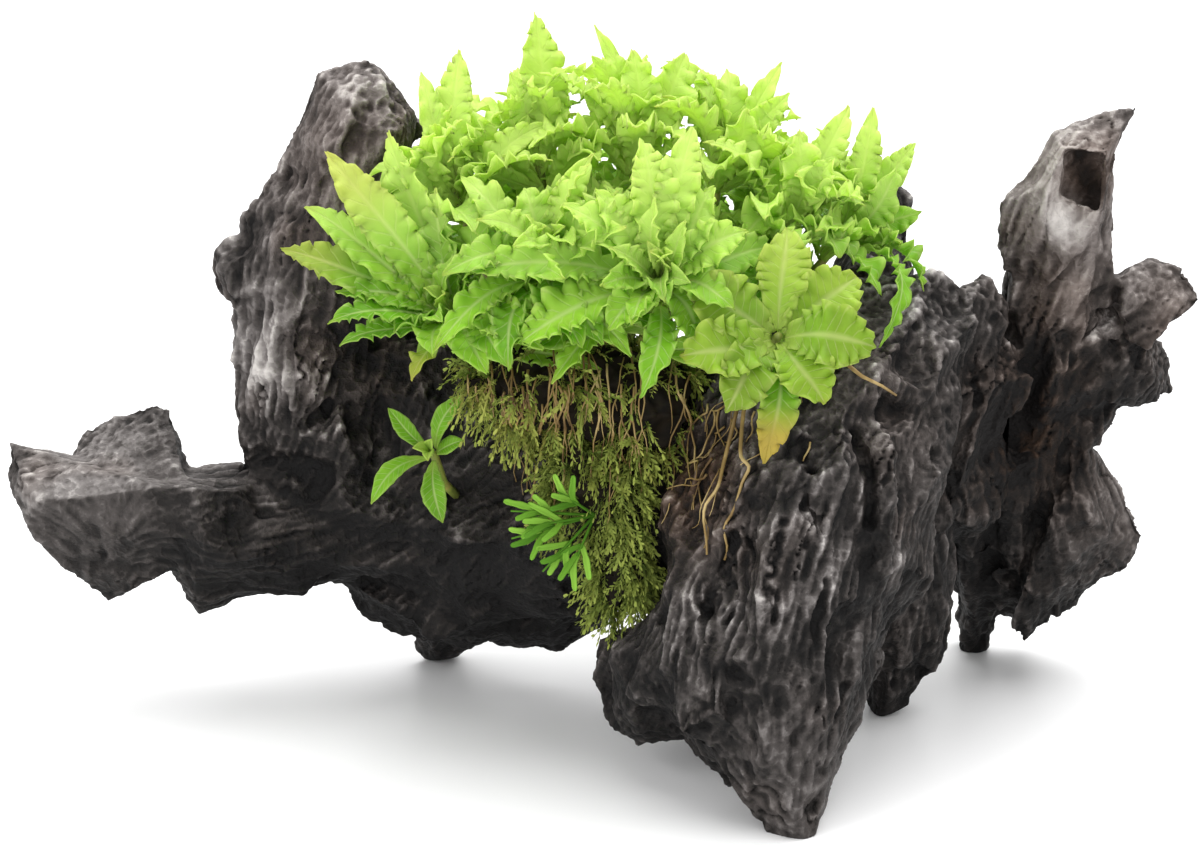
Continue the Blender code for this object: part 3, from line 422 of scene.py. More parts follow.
def carveRelief(wood):
    mesh = wood.data
    points = pointsOf(mesh).astype(np.float64) / mm
    normals = pointsOf(mesh, "normal")
    streaks = {name: combedNoise(points, pitch, reach, place + 1)
               for place, (name, (pitch, reach)) in enumerate(woodStreaks.items())}
    fibre = streaks["fibre"]
    fine = streaks["fine"]
    broad = softNoise(points / 19 + 9.1)
    where = softNoise(points / 13 + 4.7)
    bent = points + 1.6 * np.stack([softNoise(points / 7 + k * 3.3) for k in (1, 2, 3)], axis=1)
    chips = [scoops(bent, woodPlan[name][0], k + 1) * woodPlan[name][1]
             for k, name in enumerate(("chippedFaces", "smallChips"))]

    strength = np.ones(len(points))
    for place, reach, change in reliefChanges:
        apart = np.linalg.norm(points - np.array(place) - fromWoodToFrame, axis=1)
        strength += change * np.exp(-((apart / reach) ** 2))

    # sharp ridges with rounded flutes between them, thin cracks, round pits, and ledges with steep fronts
    ridge = 1 - np.abs(streaks["flute"]) * 1.1
    crack = np.clip(1 - np.abs(streaks["crack"]) / 0.15, 0, 1) * smoothStep(0.0, 0.45, where)
    hole = smoothStep(1.5, 2.4, streaks["pit"])
    terrace = streaks["chip"] * 1.3
    terrace = (np.floor(terrace) + smoothStep(0.72, 1.0, terrace - np.floor(terrace))) / 1.3
    ledge = woodPlan["ledges"] * 0.5 * terrace * smoothStep(-0.3, 0.3, -where)
    height = woodPlan["flutes"] * ridge + woodPlan["fibres"] * (1 - 1.3 * np.abs(fibre))
    height += woodPlan["fineFibres"] * fine + ledge
    height += chips[0] + chips[1]
    height -= woodPlan["cracks"] * crack + woodPlan["pits"] * hole
    height *= strength
    height += woodPlan["swells"] * broad - woodPlan["sunk"]
    carved = np.zeros(len(points))
    shade = np.zeros(len(points))
    # each carving is cut in, and painted shade darkens it
    for line, reach, depth, darker in carvings.values():
        near = np.clip(1 - distanceTo(points, line) / reach, 0, 1)
        near = near * near * (3 - 2 * near)
        carved = np.maximum(carved, depth * near)
        shade = np.maximum(shade, darker * np.minimum(near * 1.6, 1))
    fade = smoothStep(0, woodPlan["footBand"], points[:, 2])
    moved = points + normals * ((height - carved) * fade)[:, None]
    for place, reach, rise in pointedFeet:
        apart = np.linalg.norm(points[:, :2] - np.array(place)[:2] - fromWoodToFrame[:2], axis=1)
        lift = rise * np.clip(apart - 1.5, 0, 9) * (1 - smoothStep(reach, reach + 6, apart))
        moved[:, 2] += lift * (1 - smoothStep(0, 14, points[:, 2]))
    moved[:, 2] = np.maximum(moved[:, 2], 0.0)
    movePoints(mesh, moved * mm)
    # crests and sharp edges stand out here, and the material paints them a little paler, partly as wear and
    # partly as a painted highlight
    writeValues(mesh, "edge", np.clip(bulge(mesh), -2.5, 3.5))
    # the relief's level, low in hollows, cracks, holes and carvings: the material paints shade there and
    # paints the crests a little paler
    hollow = 0.5 + 0.16 * (height - height.mean()) / height.std()
    writeValues(mesh, "hollow", hollow - 0.35 * crack - 0.3 * hole - shade)
    writeValues(mesh, "fibre", 0.5 + 0.22 * (1 - 1.3 * np.abs(fibre)) + 0.12 * fine)
    writeValues(mesh, "patch", 0.5 + 0.5 * where)
    # how far each point faces up: the material paints the tops paler and the undersides darker, partly
    # bleaching and partly painted top light and under-shade
    writeValues(mesh, "facing", normals[:, 2])


def bulge(mesh):
    # how far each point stands out from those round it, above 0 on crests and sharp edges; its spread is 1
    ends = np.empty(len(mesh.edges) * 2, np.int32)
    mesh.edges.foreach_get("vertices", ends)
    ends = ends.reshape(-1, 2)
    count = len(mesh.vertices)
    shared = np.bincount(ends.ravel(), minlength=count)

    def around(values):
        return (np.bincount(ends[:, 0], values[ends[:, 1]], count)
                + np.bincount(ends[:, 1], values[ends[:, 0]], count)) / np.maximum(shared, 1)

    places = pointsOf(mesh).astype(np.float64)
    level = places
    for turn in range(3):
        level = np.stack([around(level[:, axis]) for axis in range(3)], axis=1)
    out = ((places - level) * pointsOf(mesh, "normal")).sum(1)
    out = 0.5 * out + 0.5 * around(out)
    return out / out.std()


def distanceTo(points, line):
    # each point's distance in mm to a line of the wood's measures, or to its one point
    corners = [inFrame(corner) for corner in line]
    nearest = np.linalg.norm(points - corners[0], axis=1)
    for start, end in zip(corners, corners[1:]):
        run = end - start
        share = np.clip(((points - start) @ run) / (run @ run), 0, 1)
        nearest = np.minimum(nearest, np.linalg.norm(points - start - share[:, None] * run, axis=1))
    return nearest


# Where the wood is painted browner or paler than elsewhere, or darker where paleness is below 0: the place in
# mm, the reach, and how much browner and paler. The darker spots in the right cleft and the horn's recess are
# painted shade.
woodTints = [
    ((-106, 0, 42), 24, 0.0, 0.23), ((-62, 4, 34), 24, 0.05, -0.14), ((-16, 4, 26), 30, 0.05, -0.20),
    ((-96, 8, 58), 14, 0.0, 0.14), ((-69, 4, 76), 15, 0.0, 0.42), ((-48, 6, 116), 20, 0.3, 0.28),
    ((-44, 6, 78), 15, 0.35, -0.20), ((17, -28, 60), 13, 0.8, -0.18), ((87, 8, 58), 15, 0.75, -0.18),
    ((94, 10, 110), 17, 0.25, 0.54), ((90, 8, 88), 10, 0.3, 0.16), ((116, 14, 84), 12, 0.25, 0.24),
    ((108, 18, 36), 15, 0.15, 0.18), ((62, -6, 20), 12, 0.1, 0.05), ((36, -50, 10), 14, 0.0, 0.30),
    ((50, -16, 72), 14, 0.3, -0.08), ((62, -20, 62), 13, 0.0, 0.12), ((-119, 4, 48), 6, 0.0, 0.2),
    ((97, 12, 111), 5, 0.5, -0.40), ((92, 8, 103), 5, -0.2, 0.14), ((97, 8, 88), 4, 0.2, 0.26),
    ((98, 9, 80), 4, 0.25, 0.28), ((98, 10, 72), 4, 0.3, 0.26), ((118, 12, 90), 5, 0.1, 0.14),
    ((84, 6, 66), 9, 0.3, -0.14),
]


def tintWood(wood):
    # how brown and how pale each point is, for the wood's material
    points = pointsOf(wood.data).astype(np.float64) / mm
    brown = np.full(len(points), 0.12)
    pale = np.zeros(len(points))
    for place, reach, browner, paler in woodTints:
        apart = np.linalg.norm(points - np.array(place) - fromWoodToFrame, axis=1)
        near = np.exp(-((apart / reach) ** 2))
        brown += browner * near
        pale += paler * near
    calm = 1 - 0.65 * np.clip(pale * 1.8, 0, 1)  # the pale wood is smoother and more even
    writeValues(wood.data, "brown", brown)
    writeValues(wood.data, "calm", calm)
    writeValues(wood.data, "pale", pale + (1 - calm) * 0.45)


# The wood is cut into separate meshes, so that none is too heavy. Each cut is an axis, its place in mm, and
# what lies below and above it, and each mesh stands for its CAD nodes.
woodCuts = ("x", 83, ("x", -6, ("z", 60, ("x", -68, "woodLeftArm", "woodLog"), "woodLeftSpur"),
                      ("y", 9, "woodTrunk", "woodBack")), "woodRightLimb")
woodPieces = {
    "woodLeftArm": ["wood_left_arm"],
    "woodLeftSpur": ["wood_left_spur"],
    "woodRightLimb": ["wood_right_limb", "wood_horn", "wood_knuckle", "wood_outer_leg"],
    "woodLog": ["wood_trunk", "wood_left_foot"],
    "woodBack": ["wood_trunk", "wood_back_spur"],
    "woodTrunk": ["wood_trunk", "wood_middle_leg", "wood_inner_leg"],
}


def cutDriftwood(bm, cut):
    # both halves of a cut are closed with flat faces and then cut again, down to the named pieces
    if isinstance(cut, str):
        return {cut: bm}
    axis, place, below, above = cut
    plane = Vector([1.0 if letter == axis else 0.0 for letter in "xyz"])
    halves = {}
    for half, rest, keepsBelow in ((bm, below, True), (bm.copy(), above, False)):
        bmesh.ops.bisect_plane(half, geom=half.verts[:] + half.edges[:] + half.faces[:], dist=1e-8,
                               plane_co=plane * place * mm, plane_no=plane,
                               clear_outer=keepsBelow, clear_inner=not keepsBelow)
        bmesh.ops.holes_fill(half, edges=[e for e in half.edges if e.is_boundary], sides=0)
        halves.update(cutDriftwood(half, rest))
    return halves


def partDriftwood(wood):
    # every mesh keeps the whole wood's normals, so that no seam shows where two of them meet
    lay = wood.data.attributes.new("lay", "FLOAT_VECTOR", "POINT")
    lay.data.foreach_set("vector", pointsOf(wood.data, "normal").ravel())
    bm = bmesh.new()
    bm.from_mesh(wood.data)
    bpy.data.objects.remove(wood, do_unlink=True)
    made = []
    for name, half in cutDriftwood(bm, woodCuts).items():
        piece = objectFrom(half, name)
        mesh = piece.data
        mesh.materials.append(woodMaterial)
        shadeSmooth(piece)
        normals = np.empty(len(mesh.vertices) * 3, np.float32)
        mesh.attributes["lay"].data.foreach_get("vector", normals)
        mesh.normals_split_custom_set_from_vertices(unit(normals.reshape(-1, 3)).tolist())
        mesh.attributes.remove(mesh.attributes["lay"])
        rideAndReplace(piece, woodPieces[name])
        made.append(piece)
    return made


def makeWoodMaterial():
    # weathered bogwood: painted shade darkens the hollows and the ridges are painted greyer; the hollows are
    # matt and the ridges have a faint polish
    made, tree = newMaterial("weatheredBogwood")
    read = {name: addNode(tree, "Attribute", {"attribute_name": name}, output="Fac")
            for name in ("hollow", "fibre", "patch", "brown", "pale", "facing", "edge", "calm")}
    where = addNode(tree, "TexCoord", output="Object")
    mottle = addNode(tree, "TexNoise", inputs={"Vector": where, "Scale": 1 / (9 * mm), "Detail": 5.0})
    grit = addNode(tree, "TexNoise", inputs={
        "Vector": where, "Scale": 1 / (0.9 * mm), "Detail": 6.0, "Roughness": 0.65})
    # crisp crests about 2 mm apart, as on charred and broken wood
    crumple = addNode(tree, "TexNoise", {"noise_type": "RIDGED_MULTIFRACTAL"}, {
        "Vector": where, "Scale": 1 / (2.4 * mm), "Detail": 5.0, "Roughness": 0.6,
        "Offset": 0.9, "Gain": 1.4})
    crests = addNode(tree, "MapRange", inputs={0: crumple, 1: 0.3, 2: 1.6, 3: 0.0, 4: 1.0})
    # level: 0 is the darkest wood and 1 the palest; painted shade darkens the hollows, the tops are painted
    # paler and the undersides darker, partly as bleaching and partly as painted top light and under-shade,
    # and the crests and edges are a little paler, partly as wear and partly as a painted highlight
    level = -0.46
    for source, strength in ((read["fibre"], 0.24), (read["hollow"], 0.50), (mottle, 0.32), (grit, 0.34),
                             (read["facing"], 0.26), (crests, 0.16), (read["edge"], 0.05)):
        level = addNode(tree, "Math", {"operation": "MULTIPLY_ADD"}, {0: source, 1: strength, 2: level})
    level = addNode(tree, "Math", {"operation": "MULTIPLY_ADD"},
                    {0: level, 1: read["calm"], 2: read["pale"]})
    greys = addNode(tree, "ValToRGB", {"stops": [
        (0.10, "#0b0a0a"), (0.36, "#211f1e"), (0.58, "#474443"), (0.78, "#787574"), (1.0, "#c2bebb")]},
        {"Fac": level})
    browns = addNode(tree, "ValToRGB", {"stops": [
        (0.10, "#0b0706"), (0.36, "#26190f"), (0.58, "#483528"), (0.78, "#7a665a"), (1.0, "#c6b9ae")]},
        {"Fac": level})
    share = addNode(tree, "Math", {"operation": "MULTIPLY_ADD", "use_clamp": True},
                    {0: read["patch"], 1: 0.6, 2: -0.35})
    share = addNode(tree, "Math", {"operation": "ADD", "use_clamp": True}, {0: share, 1: read["brown"]})
    colour = addNode(tree, "Mix", {"data_type": "RGBA"}, {0: share, 6: greys, 7: browns}, 2)
    rough = addNode(tree, "MapRange", inputs={0: level, 1: 0.1, 2: 0.9, 3: 0.72, 4: 0.46})
    bump = addNode(tree, "Bump", inputs={"Strength": 0.8, "Distance": 0.45 * mm, "Height": grit})
    bump = addNode(tree, "Bump", inputs={
        "Strength": 0.7, "Distance": 0.5 * mm, "Height": crests, "Normal": bump})
    shader = addNode(tree, "BsdfPrincipled", inputs={
        "Base Color": colour, "Roughness": rough, "Normal": bump, "IOR": 1.5, "Specular IOR Level": 0.22})
    endMaterial(tree, shader)
    return made


woodMaterial = makeWoodMaterial()
wholeWood = wholeDriftwood()
carveRelief(wholeWood)
tintWood(wholeWood)
woodTree = treeOf(wholeWood.data)
print("driftwood carved,", len(wholeWood.data.polygons), "faces")
woodMeshes = partDriftwood(wholeWood)
print("driftwood parted:", {w.name: 2 * len(w.data.polygons) for w in woodMeshes})


# Downoi rosettes, in mm as in the wood's measures. Leaves are (tip, width, bow). Those in "outer" stand for
# CAD solids of their own, and "more" holds others that the photo shows.

leafShape = {
    "stalk": 0.14,  # a leaf's width at its foot, as a share of its widest
    "skew": 1.25,  # above 1, a leaf is widest past its middle
    "fold": 0.28,
    "crisping": 0.18,  # height of the waves at the edge, as a share of the width
    "wavelength": 2.7,
    "thickness": 0.24,
    "spiral": 137.5,  # degrees from one filling leaf to the next, round the stem
    "shortest": 0.6,  # the share of its length that a leaf keeps at least
    "focus": (4, 2, 52),  # the plants grow out from round this point
    "start": 1.4,
    "paler": (94, 124),  # heights between which the leaves are painted from their own green to a pale one, as painted light on the mound's top
    "lowest": 79,  # leaves that fill a rosette in front keep above this height
    "dome": ((2, 4, 84), (58, 46, 54)),  # middle and half sizes of the mound that the leaves keep to
    "stem": 2.0,
    "stemReach": 26,
    "evenlyFaded": 0.32,  # a leaf that has yellowed less than this has done so all over
}
rosettes = {
    "front": {
        "centre": (33, -32, 91), "axis": (0.12, -0.86, 0.5), "whorls": "star", "crispness": 0.6,
        "faded": 0.24,
        "outer": {
            "left": ((15, -38, 88.5), 11.5, 2.5), "low_left": ((22.5, -42, 80), 10.5, 2),
            "low": ((31, -43, 70), 7.4, 3), "low_right": ((41, -42, 81), 10.5, 2),
            "right": ((51, -37, 91), 12, 2.5), "high_right": ((48, -25, 101), 11.5, 2),
            "high": ((34.5, -24, 110), 10, 2), "high_left": ((16, -31, 101), 11.5, 2.5)}},
    "centre": {
        "centre": (11, -27, 100), "axis": (0.0, -0.68, 0.73),
        "outer": {"left": ((-1, -25, 117), 8.4, 2), "right": ((22, -23, 117), 8.4, 2)},
        "more": [
            ((-15, -36, 91), 10, 3), ((-24, -28, 103), 9, 3), ((-7, -27, 115), 8.4, 3),
            ((7.5, -20, 126), 9, 2.5), ((17, -18, 128), 8, 2.5), ((27.5, -27, 110), 8.4, 2),
            ((25, -36, 98.5), 7, 2), ((2, -38, 94), 8, 2.5), ((19, -33, 91), 8, 2.5),
            ((33, -21, 105), 8, 2)]},
    "left": {
        "centre": (-27, -15, 89), "crispness": 0.75, "axis": (-0.45, -0.5, 0.74),
        "outer": {
            "tall": ((-52, -7, 121), 9, 2.5), "long": ((-61, -14, 103), 9, 2.5),
            "side": ((-51, -25, 91.5), 7, 2), "low": ((-49.5, -19, 85), 5, 1.5),
            "hook": ((-35, -27, 81), 5, 2.5), "front": ((-21, -31, 84), 8, 2.5),
            "crest": ((-40, -3, 124), 8.4, 2)},
        "more": [
            ((-19, -20, 96), 8, 2), ((-50, -20, 97), 7, 2), ((-31, -13, 110), 8, 2),
            ((-18, -16, 110.5), 8, 2.5), ((-30.5, -12, 115), 8, 2.5), ((-10, -34, 90), 9, 3),
            ((-39, -24, 90), 7, 2.5), ((-32, -28, 86), 7, 2.5), ((-57, -10, 110), 7.4, 2.5)]},
    "middle": {
        "centre": (-9, -19, 102), "axis": (-0.15, -0.6, 0.78), "outer": {},
        "more": [
            ((-4.5, -36, 90), 9, 3), ((-15, -16, 115.5), 8, 2), ((0, -32, 89.5), 8, 3),
            ((-26, -10, 108), 8, 2)]},
    "high_left": {
        "centre": (-28, -1, 110), "whorls": "crest",
        "outer": {"tall": ((-28, 6, 138), 7.4, 2)},
        "more": [
            ((-35, 4, 134), 5, 2), ((-40, -4, 120.5), 8, 2.5), ((-19, 0, 127), 8, 2),
            ((-20, -3, 116), 8, 2), ((-17, -4, 119), 8, 2)]},
    "top_left": {
        "centre": (-12, 9, 114), "whorls": "crest",
        "outer": {"tall": ((-12, 11, 144), 9, 1.5)},
        "more": [
            ((-17.5, 8, 133), 7, 2), ((-8, 10, 131), 8, 2), ((-23, 2, 123), 8, 2.5), ((-4, 9, 127), 7, 2),
            ((-3, 0, 122), 8, 2)]},
    "top": {
        "centre": (6, 7, 118), "whorls": "crest",
        "outer": {"tall": ((17, 11, 136), 9, 2)},
        "more": [
            ((0, 12, 142), 3.4, 2.5), ((7, 8, 137.5), 8, 2), ((11.5, 0, 129.5), 8, 2),
            ((-2, 12, 131), 7, 2), ((-6, -3, 118), 8, 2)]},
    "top_right": {
        "centre": (24, 8, 114), "whorls": "crest",
        "outer": {"tall": ((25, 13, 133), 7, 1.5)},
        "more": [
            ((35.5, 12, 134.5), 4.4, 2.5), ((36.5, 6, 130), 6, 2), ((29, 0, 127.5), 8, 2),
            ((39, 4, 125), 7, 2)]},
    "right": {
        "centre": (37, -6, 107), "whorls": "crest", "outer": {},
        "more": [
            ((48, 4, 127.5), 6, 2), ((44, -10, 120), 8, 2), ((38, -8, 125), 8, 2), ((49.5, -14, 113), 8, 2),
            ((27, -14, 106), 8, 2), ((45, -19, 103), 7, 2), ((40, -15, 105), 8, 2), ((48, -15, 101), 8, 2)]},
    "far_right": {
        "centre": (47, 4, 100),
        "outer": {
            "high": ((62, 9, 119), 6, 2), "fork": ((63.5, 7, 106), 6, -1.5),
            "drooping": ((63, -5, 93), 7.4, 3.5)},
        "more": [((54, 8, 126), 6, 2), ((53.5, -22, 86), 4.6, 8), ((58.5, 4, 114.5), 7, 2)]},
    "back_left": {"centre": (-17, 28, 105), "axis": (-0.2, 0.3, 0.93), "outer": {}},
    "back_middle": {"centre": (6, 34, 106), "axis": (0, 0.3, 0.95), "outer": {}},
    "back_right": {"centre": (29, 30, 102), "axis": (0.25, 0.3, 0.92), "outer": {}},
    "plantlet": {
        "centre": (-33, -8, 60), "crispness": 0.15, "whorls": "plantlet", "axis": (-0.25, -0.75, 0.6),
        "outer": {
            "left": ((-45.5, -13, 52), 4.4, 2), "low": ((-31, -16, 48.5), 5, 2),
            "high_left": ((-42, -7, 69), 3.6, 1.5), "high": ((-27, -9, 73), 4.2, 1.5)}},
}
# The leaves that fill a rosette, down its stem: how many, how far below its heart in mm, their lean from
# its axis in degrees, their length and width in mm, and the blank that they are bent from.
whorls = {
    "mound": [
        (3, -1.5, 16, 11, 3.6, "small"), (5, -0.5, 36, 19, 5.2, "middle"), (6, 1.5, 56, 24, 6.4, "middle"),
        (7, 5, 74, 27, 7.2, "broad"), (7, 11, 90, 25, 7.2, "middle"), (4, 18, 104, 20, 6.6, "middle")],
    "crest": [
        (5, -1.5, 16, 19, 4.2, "middle"), (6, -0.5, 32, 23, 5.4, "middle"), (6, 1.5, 50, 25, 6.4, "middle"),
        (7, 5, 70, 26, 7, "broad"), (6, 11, 90, 24, 7, "middle"), (4, 18, 104, 20, 6.4, "middle")],
    "star": [
        (3, -0.5, 25, 5, 2.2, "small"), (5, 4, 82, 16, 6, "middle"), (6, 10, 92, 20, 7.6, "middle")],
    "plantlet": [
        (3, 0, 60, 9, 3.4, "small"), (3, -1, 28, 5, 2.4, "small")],
}
# Leaves that have begun to yellow from the tip.
fadedLeaves = {("front", "low"): 1.0, ("left", "tall"): 0.35, ("left", "long"): 0.33, ("left", "hook"): 0.5}


def leafBlank(columns, rows):
    # a flat blade to bend into every leaf: x runs along it and y across
    deselectAll()
    bpy.ops.mesh.primitive_grid_add(x_subdivisions=columns, y_subdivisions=rows, size=2)
    blank = bpy.context.object
    blank.name = "leafBlank"
    return blank


def bendLeaf(blank, foot, tip, width, bow, up, dice,
             young=0.0, faded=0.0, crispness=1.0, loose=1.0, strap=0.0):
    # a leaf from its foot to its tip; loose is how freely it rolls and twists, and strap its least width
    shape = leafShape
    mesh = blank.data.copy()
    flat = pointsOf(mesh)
    s = (flat[:, 0] + 1) / 2
    t = flat[:, 1]
    foot = np.array(foot, float)
    tip = np.array(tip, float)
    length = np.linalg.norm(tip - foot)
    run = (tip - foot) / length
    rise = up - run * (up @ run)
    rise = rise / max(np.linalg.norm(rise), 1e-6)
    # the midrib: an arch whose tip curls over, and that wanders a little to the side
    roll = dice.uniform(-0.55, 0.55) * crispness * loose
    rise = rise * math.cos(roll) + np.cross(rise, run) * math.sin(roll)
    side = np.cross(rise, run)
    curl = length * dice.uniform(0.02, 0.14 + 0.12 * crispness)
    wander = length * dice.uniform(-0.07, 0.07)
    lift = 4 * bow * s * (1 - s) - curl * (s ** 4 - s) * 0.8
    sway = wander * np.sin(math.pi * s * 1.3)
    spine = foot + np.outer(s * length, run) + np.outer(lift, rise) + np.outer(sway, side)
    slope = 4 * bow * (1 - 2 * s) - curl * (4 * s ** 3 - 1) * 0.8
    along = unit(length * run + slope[:, None] * rise)
    twist = dice.uniform(-1.0, 1.0) * (0.15 + 0.85 * crispness ** 2) * loose * s ** 1.5
    across = unit(np.cross(np.broadcast_to(rise, along.shape), along))
    face = unit(np.cross(along, across))
    turned = across * np.cos(twist)[:, None] + face * np.sin(twist)[:, None]
    face = unit(np.cross(along, turned))
    # the outline, and the crisped edge on either side of it
    swell = np.maximum(np.sin(math.pi * np.clip(s, 0, 1) ** shape["skew"]), 0) ** (0.75 + 0.5 * s)
    profile = shape["stalk"] + (1 - shape["stalk"]) * swell
    profile = np.maximum(profile, strap) * (1 - smoothStep(0.93, 1.0, s) * 0.55)
    waves = length / shape["wavelength"] * dice.uniform(0.8, 1.2)
    phase = np.where(t > 0, dice.uniform(0, 6.3), dice.uniform(0, 6.3))
    beat = 2 * math.pi * waves * (s + 0.04 * np.sin(2 * math.pi * s * 2 + phase)) + phase
    edge = np.abs(t) ** 2.4
    teeth = np.sin(beat + 1.1) + 0.3 * np.sin(2 * beat + 2.2)
    half = width / 2 * profile * (1 + 0.075 * math.sqrt(crispness) * edge * teeth)
    crisp = shape["crisping"] * crispness * width * (1 - 0.5 * young) * np.minimum(profile * 1.3, 1)
    crisp *= (1 + 0.5 * np.sin(beat * 0.37 + phase * 2)) * (0.75 + 0.5 * s)
    ruffle = crisp * edge * (np.sin(beat) + 0.3 * np.sin(1.9 * beat + 1.7))
    cup = shape["fold"] * (1 + young) * half * np.abs(t) ** 1.2
    sweep = -0.07 * crispness * width * edge * np.cos(beat)
    places = spine + turned * (half * t)[:, None] + face * (ruffle + cup)[:, None] + along * sweep[:, None]
    movePoints(mesh, (places + fromWoodToFrame) * mm)
    writeValues(mesh, "tone", np.full(len(s), dice.random()))
    writeValues(mesh, "young", np.maximum(young, 0.9 * (1 - smoothStep(0.05, 0.35, s))))
    # the leaves are painted paler towards the mound's top, as painted light
    writeValues(mesh, "pale", smoothStep(*shape["paler"], places[:, 2]))
    tipShade = 0.3 * dice.random() * smoothStep(0.9, 1.0, s)
    fadedFrom = -0.45 if faded < shape["evenlyFaded"] else 0.45
    writeValues(mesh, "faded", faded * smoothStep(fadedFrom, 0.85, s) + tipShade)
    return addObject("leaf", mesh)


def tube(name, points, thickness, material, taper=0.5, sides=1):
    # a round stem or root through these points, in mm in the frame
    curve = bpy.data.curves.new(name, "CURVE")
    curve.dimensions = "3D"
    curve.bevel_depth = thickness / 2 * mm
    curve.bevel_resolution = sides
    curve.use_fill_caps = True
    spline = curve.splines.new("POLY")
    spline.points.add(len(points) - 1)
    for number, (item, point) in enumerate(zip(spline.points, points)):
        item.co = (*(Vector(point) * mm), 1)
        item.radius = 1 - (1 - taper) * number / max(len(points) - 1, 1)
    activate(addObject(name, curve))
    bpy.ops.object.convert(target="MESH")
    made = bpy.context.object
    mergeDoubles(made.data)
    made.data.materials.append(material)
    return made


def insideWood(point, clearance=0.8):
    # whether this place in mm of the wood's measures is in the wood, or nearer to it than this
    spot = Vector(point + fromWoodToFrame) * mm
    place, facing, face, distance = woodTree.find_nearest(spot)
    return (spot - place).dot(facing) < clearance * mm and distance < 12 * mm


def onWood(point, outwards):
    # the place on the bark that is nearest to a point of the frame in mm, and this far out from it
    place, facing, face, distance = woodTree.find_nearest(Vector(point) * mm)
    return np.array(place) / mm + np.array(facing) * outwards


def makeLeafMaterial():
    # downoi leaf: soft and thin, so that light comes through it, with pale veins and a paler crisped edge
    made, tree = newMaterial("downoiLeaf")
    tone, young, pale, faded = (addNode(tree, "Attribute", {"attribute_name": name}, output="Fac")
                                for name in ("tone", "young", "pale", "faded"))
    grid = addNode(tree, "UVMap")
    along = addNode(tree, "SeparateXYZ", inputs={"Vector": grid}, output="X")
    across = addNode(tree, "Math", {"operation": "SUBTRACT"}, {0: along.node.outputs["Y"], 1: 0.5})
    across = addNode(tree, "Math", {"operation": "ABSOLUTE"}, {0: across})
    across = addNode(tree, "Math", {"operation": "MULTIPLY"}, {0: across, 1: 2.0})
    # side veins leave the midrib about every 2 mm and run forwards
    beat = addNode(tree, "Math", {"operation": "MULTIPLY_ADD"}, {0: across, 1: -0.13, 2: along})
    beat = addNode(tree, "Math", {"operation": "MULTIPLY"}, {0: beat, 1: 2 * math.pi * 11})
    beat = addNode(tree, "Math", {"operation": "SINE"}, {0: beat})
    veins = addNode(tree, "MapRange", inputs={0: beat, 1: 0.80, 2: 1.0, 3: 0.0, 4: 0.55})
    midrib = addNode(tree, "MapRange", inputs={0: across, 1: 0.03, 2: 0.17, 3: 1.0, 4: 0.0})
    lines = addNode(tree, "Math", {"operation": "MAXIMUM"}, {0: veins, 1: midrib})
    edging = addNode(tree, "MapRange", inputs={0: across, 1: 0.72, 2: 1.0, 3: 0.0, 4: 0.45})
    where = addNode(tree, "TexCoord", output="Object")
    mottle = addNode(tree, "TexNoise", inputs={"Vector": where, "Scale": 1 / (3.5 * mm), "Detail": 4.0})
    level = addNode(tree, "Math", {"operation": "MULTIPLY"}, {0: tone, 1: 0.5})
    level = addNode(tree, "Math", {"operation": "MULTIPLY_ADD"}, {0: mottle, 1: 0.5, 2: level})
    colour = addNode(tree, "ValToRGB", {"stops": [
        (0.15, "#6ca621"), (0.42, "#8dc82e"), (0.68, "#a9d942"), (0.95, "#c2e65e")]}, {"Fac": level})
    # over the leaf's own green: its edge, its veins, a young heart, painted light on the mound's top, and
    # yellowing
    tints = ((edging, 1.0, "#cbe07c"), (lines, 0.6, "#d8e89c"), (young, 0.55, "#d3e27c"),
             (pale, 0.85, "#e8fb8e"), (faded, 1.0, "#cdb955"))
    for source, strength, tint in tints:
        share = addNode(tree, "Math", {"operation": "MULTIPLY"}, {0: source, 1: strength})
        colour = addNode(tree, "Mix", {"data_type": "RGBA"}, {0: share, 6: colour, 7: srgb(tint)}, 2)
    height = addNode(tree, "Math", {"operation": "MULTIPLY_ADD"}, {0: lines, 1: -1.0, 2: mottle})
    bump = addNode(tree, "Bump", inputs={"Strength": 0.55, "Distance": 0.25 * mm, "Height": height})
    shader = addNode(tree, "BsdfPrincipled", inputs={
        "Base Color": colour, "Roughness": 0.42, "IOR": 1.42, "Specular IOR Level": 0.4, "Normal": bump})
    glow = addNode(tree, "BsdfTranslucent", inputs={"Color": colour, "Normal": bump})
    endMaterial(tree, addNode(tree, "MixShader", inputs={0: 0.5, 1: shader, 2: glow}))
    return made


def makeStalkMaterial(name, pitch, stops):
    # stems and roots: fleshy, a little glossy and mottled
    made, tree = newMaterial(name)
    where = addNode(tree, "TexCoord", output="Object")
    mottle = addNode(tree, "TexNoise", inputs={"Vector": where, "Scale": 1 / (pitch * mm), "Detail": 3.0})
    colour = addNode(tree, "ValToRGB", {"stops": stops}, {"Fac": mottle})
    endMaterial(tree, addNode(tree, "BsdfPrincipled", inputs={
        "Base Color": colour, "Roughness": 0.5, "IOR": 1.42}))
    return made


def withinMound(centre, direction, reach):
    # how long a leaf can be from here before its tip leaves the mound, in mm
    middle, half = (np.array(part, float) for part in leafShape["dome"])
    a = (centre - middle) / half
    b = direction / half
    root = (a @ b) ** 2 - (b @ b) * (a @ a - 1)
    least = reach * leafShape["shortest"]
    if root <= 0:
        return least
    return float(np.clip((-(a @ b) + math.sqrt(root)) / (b @ b), least, reach))


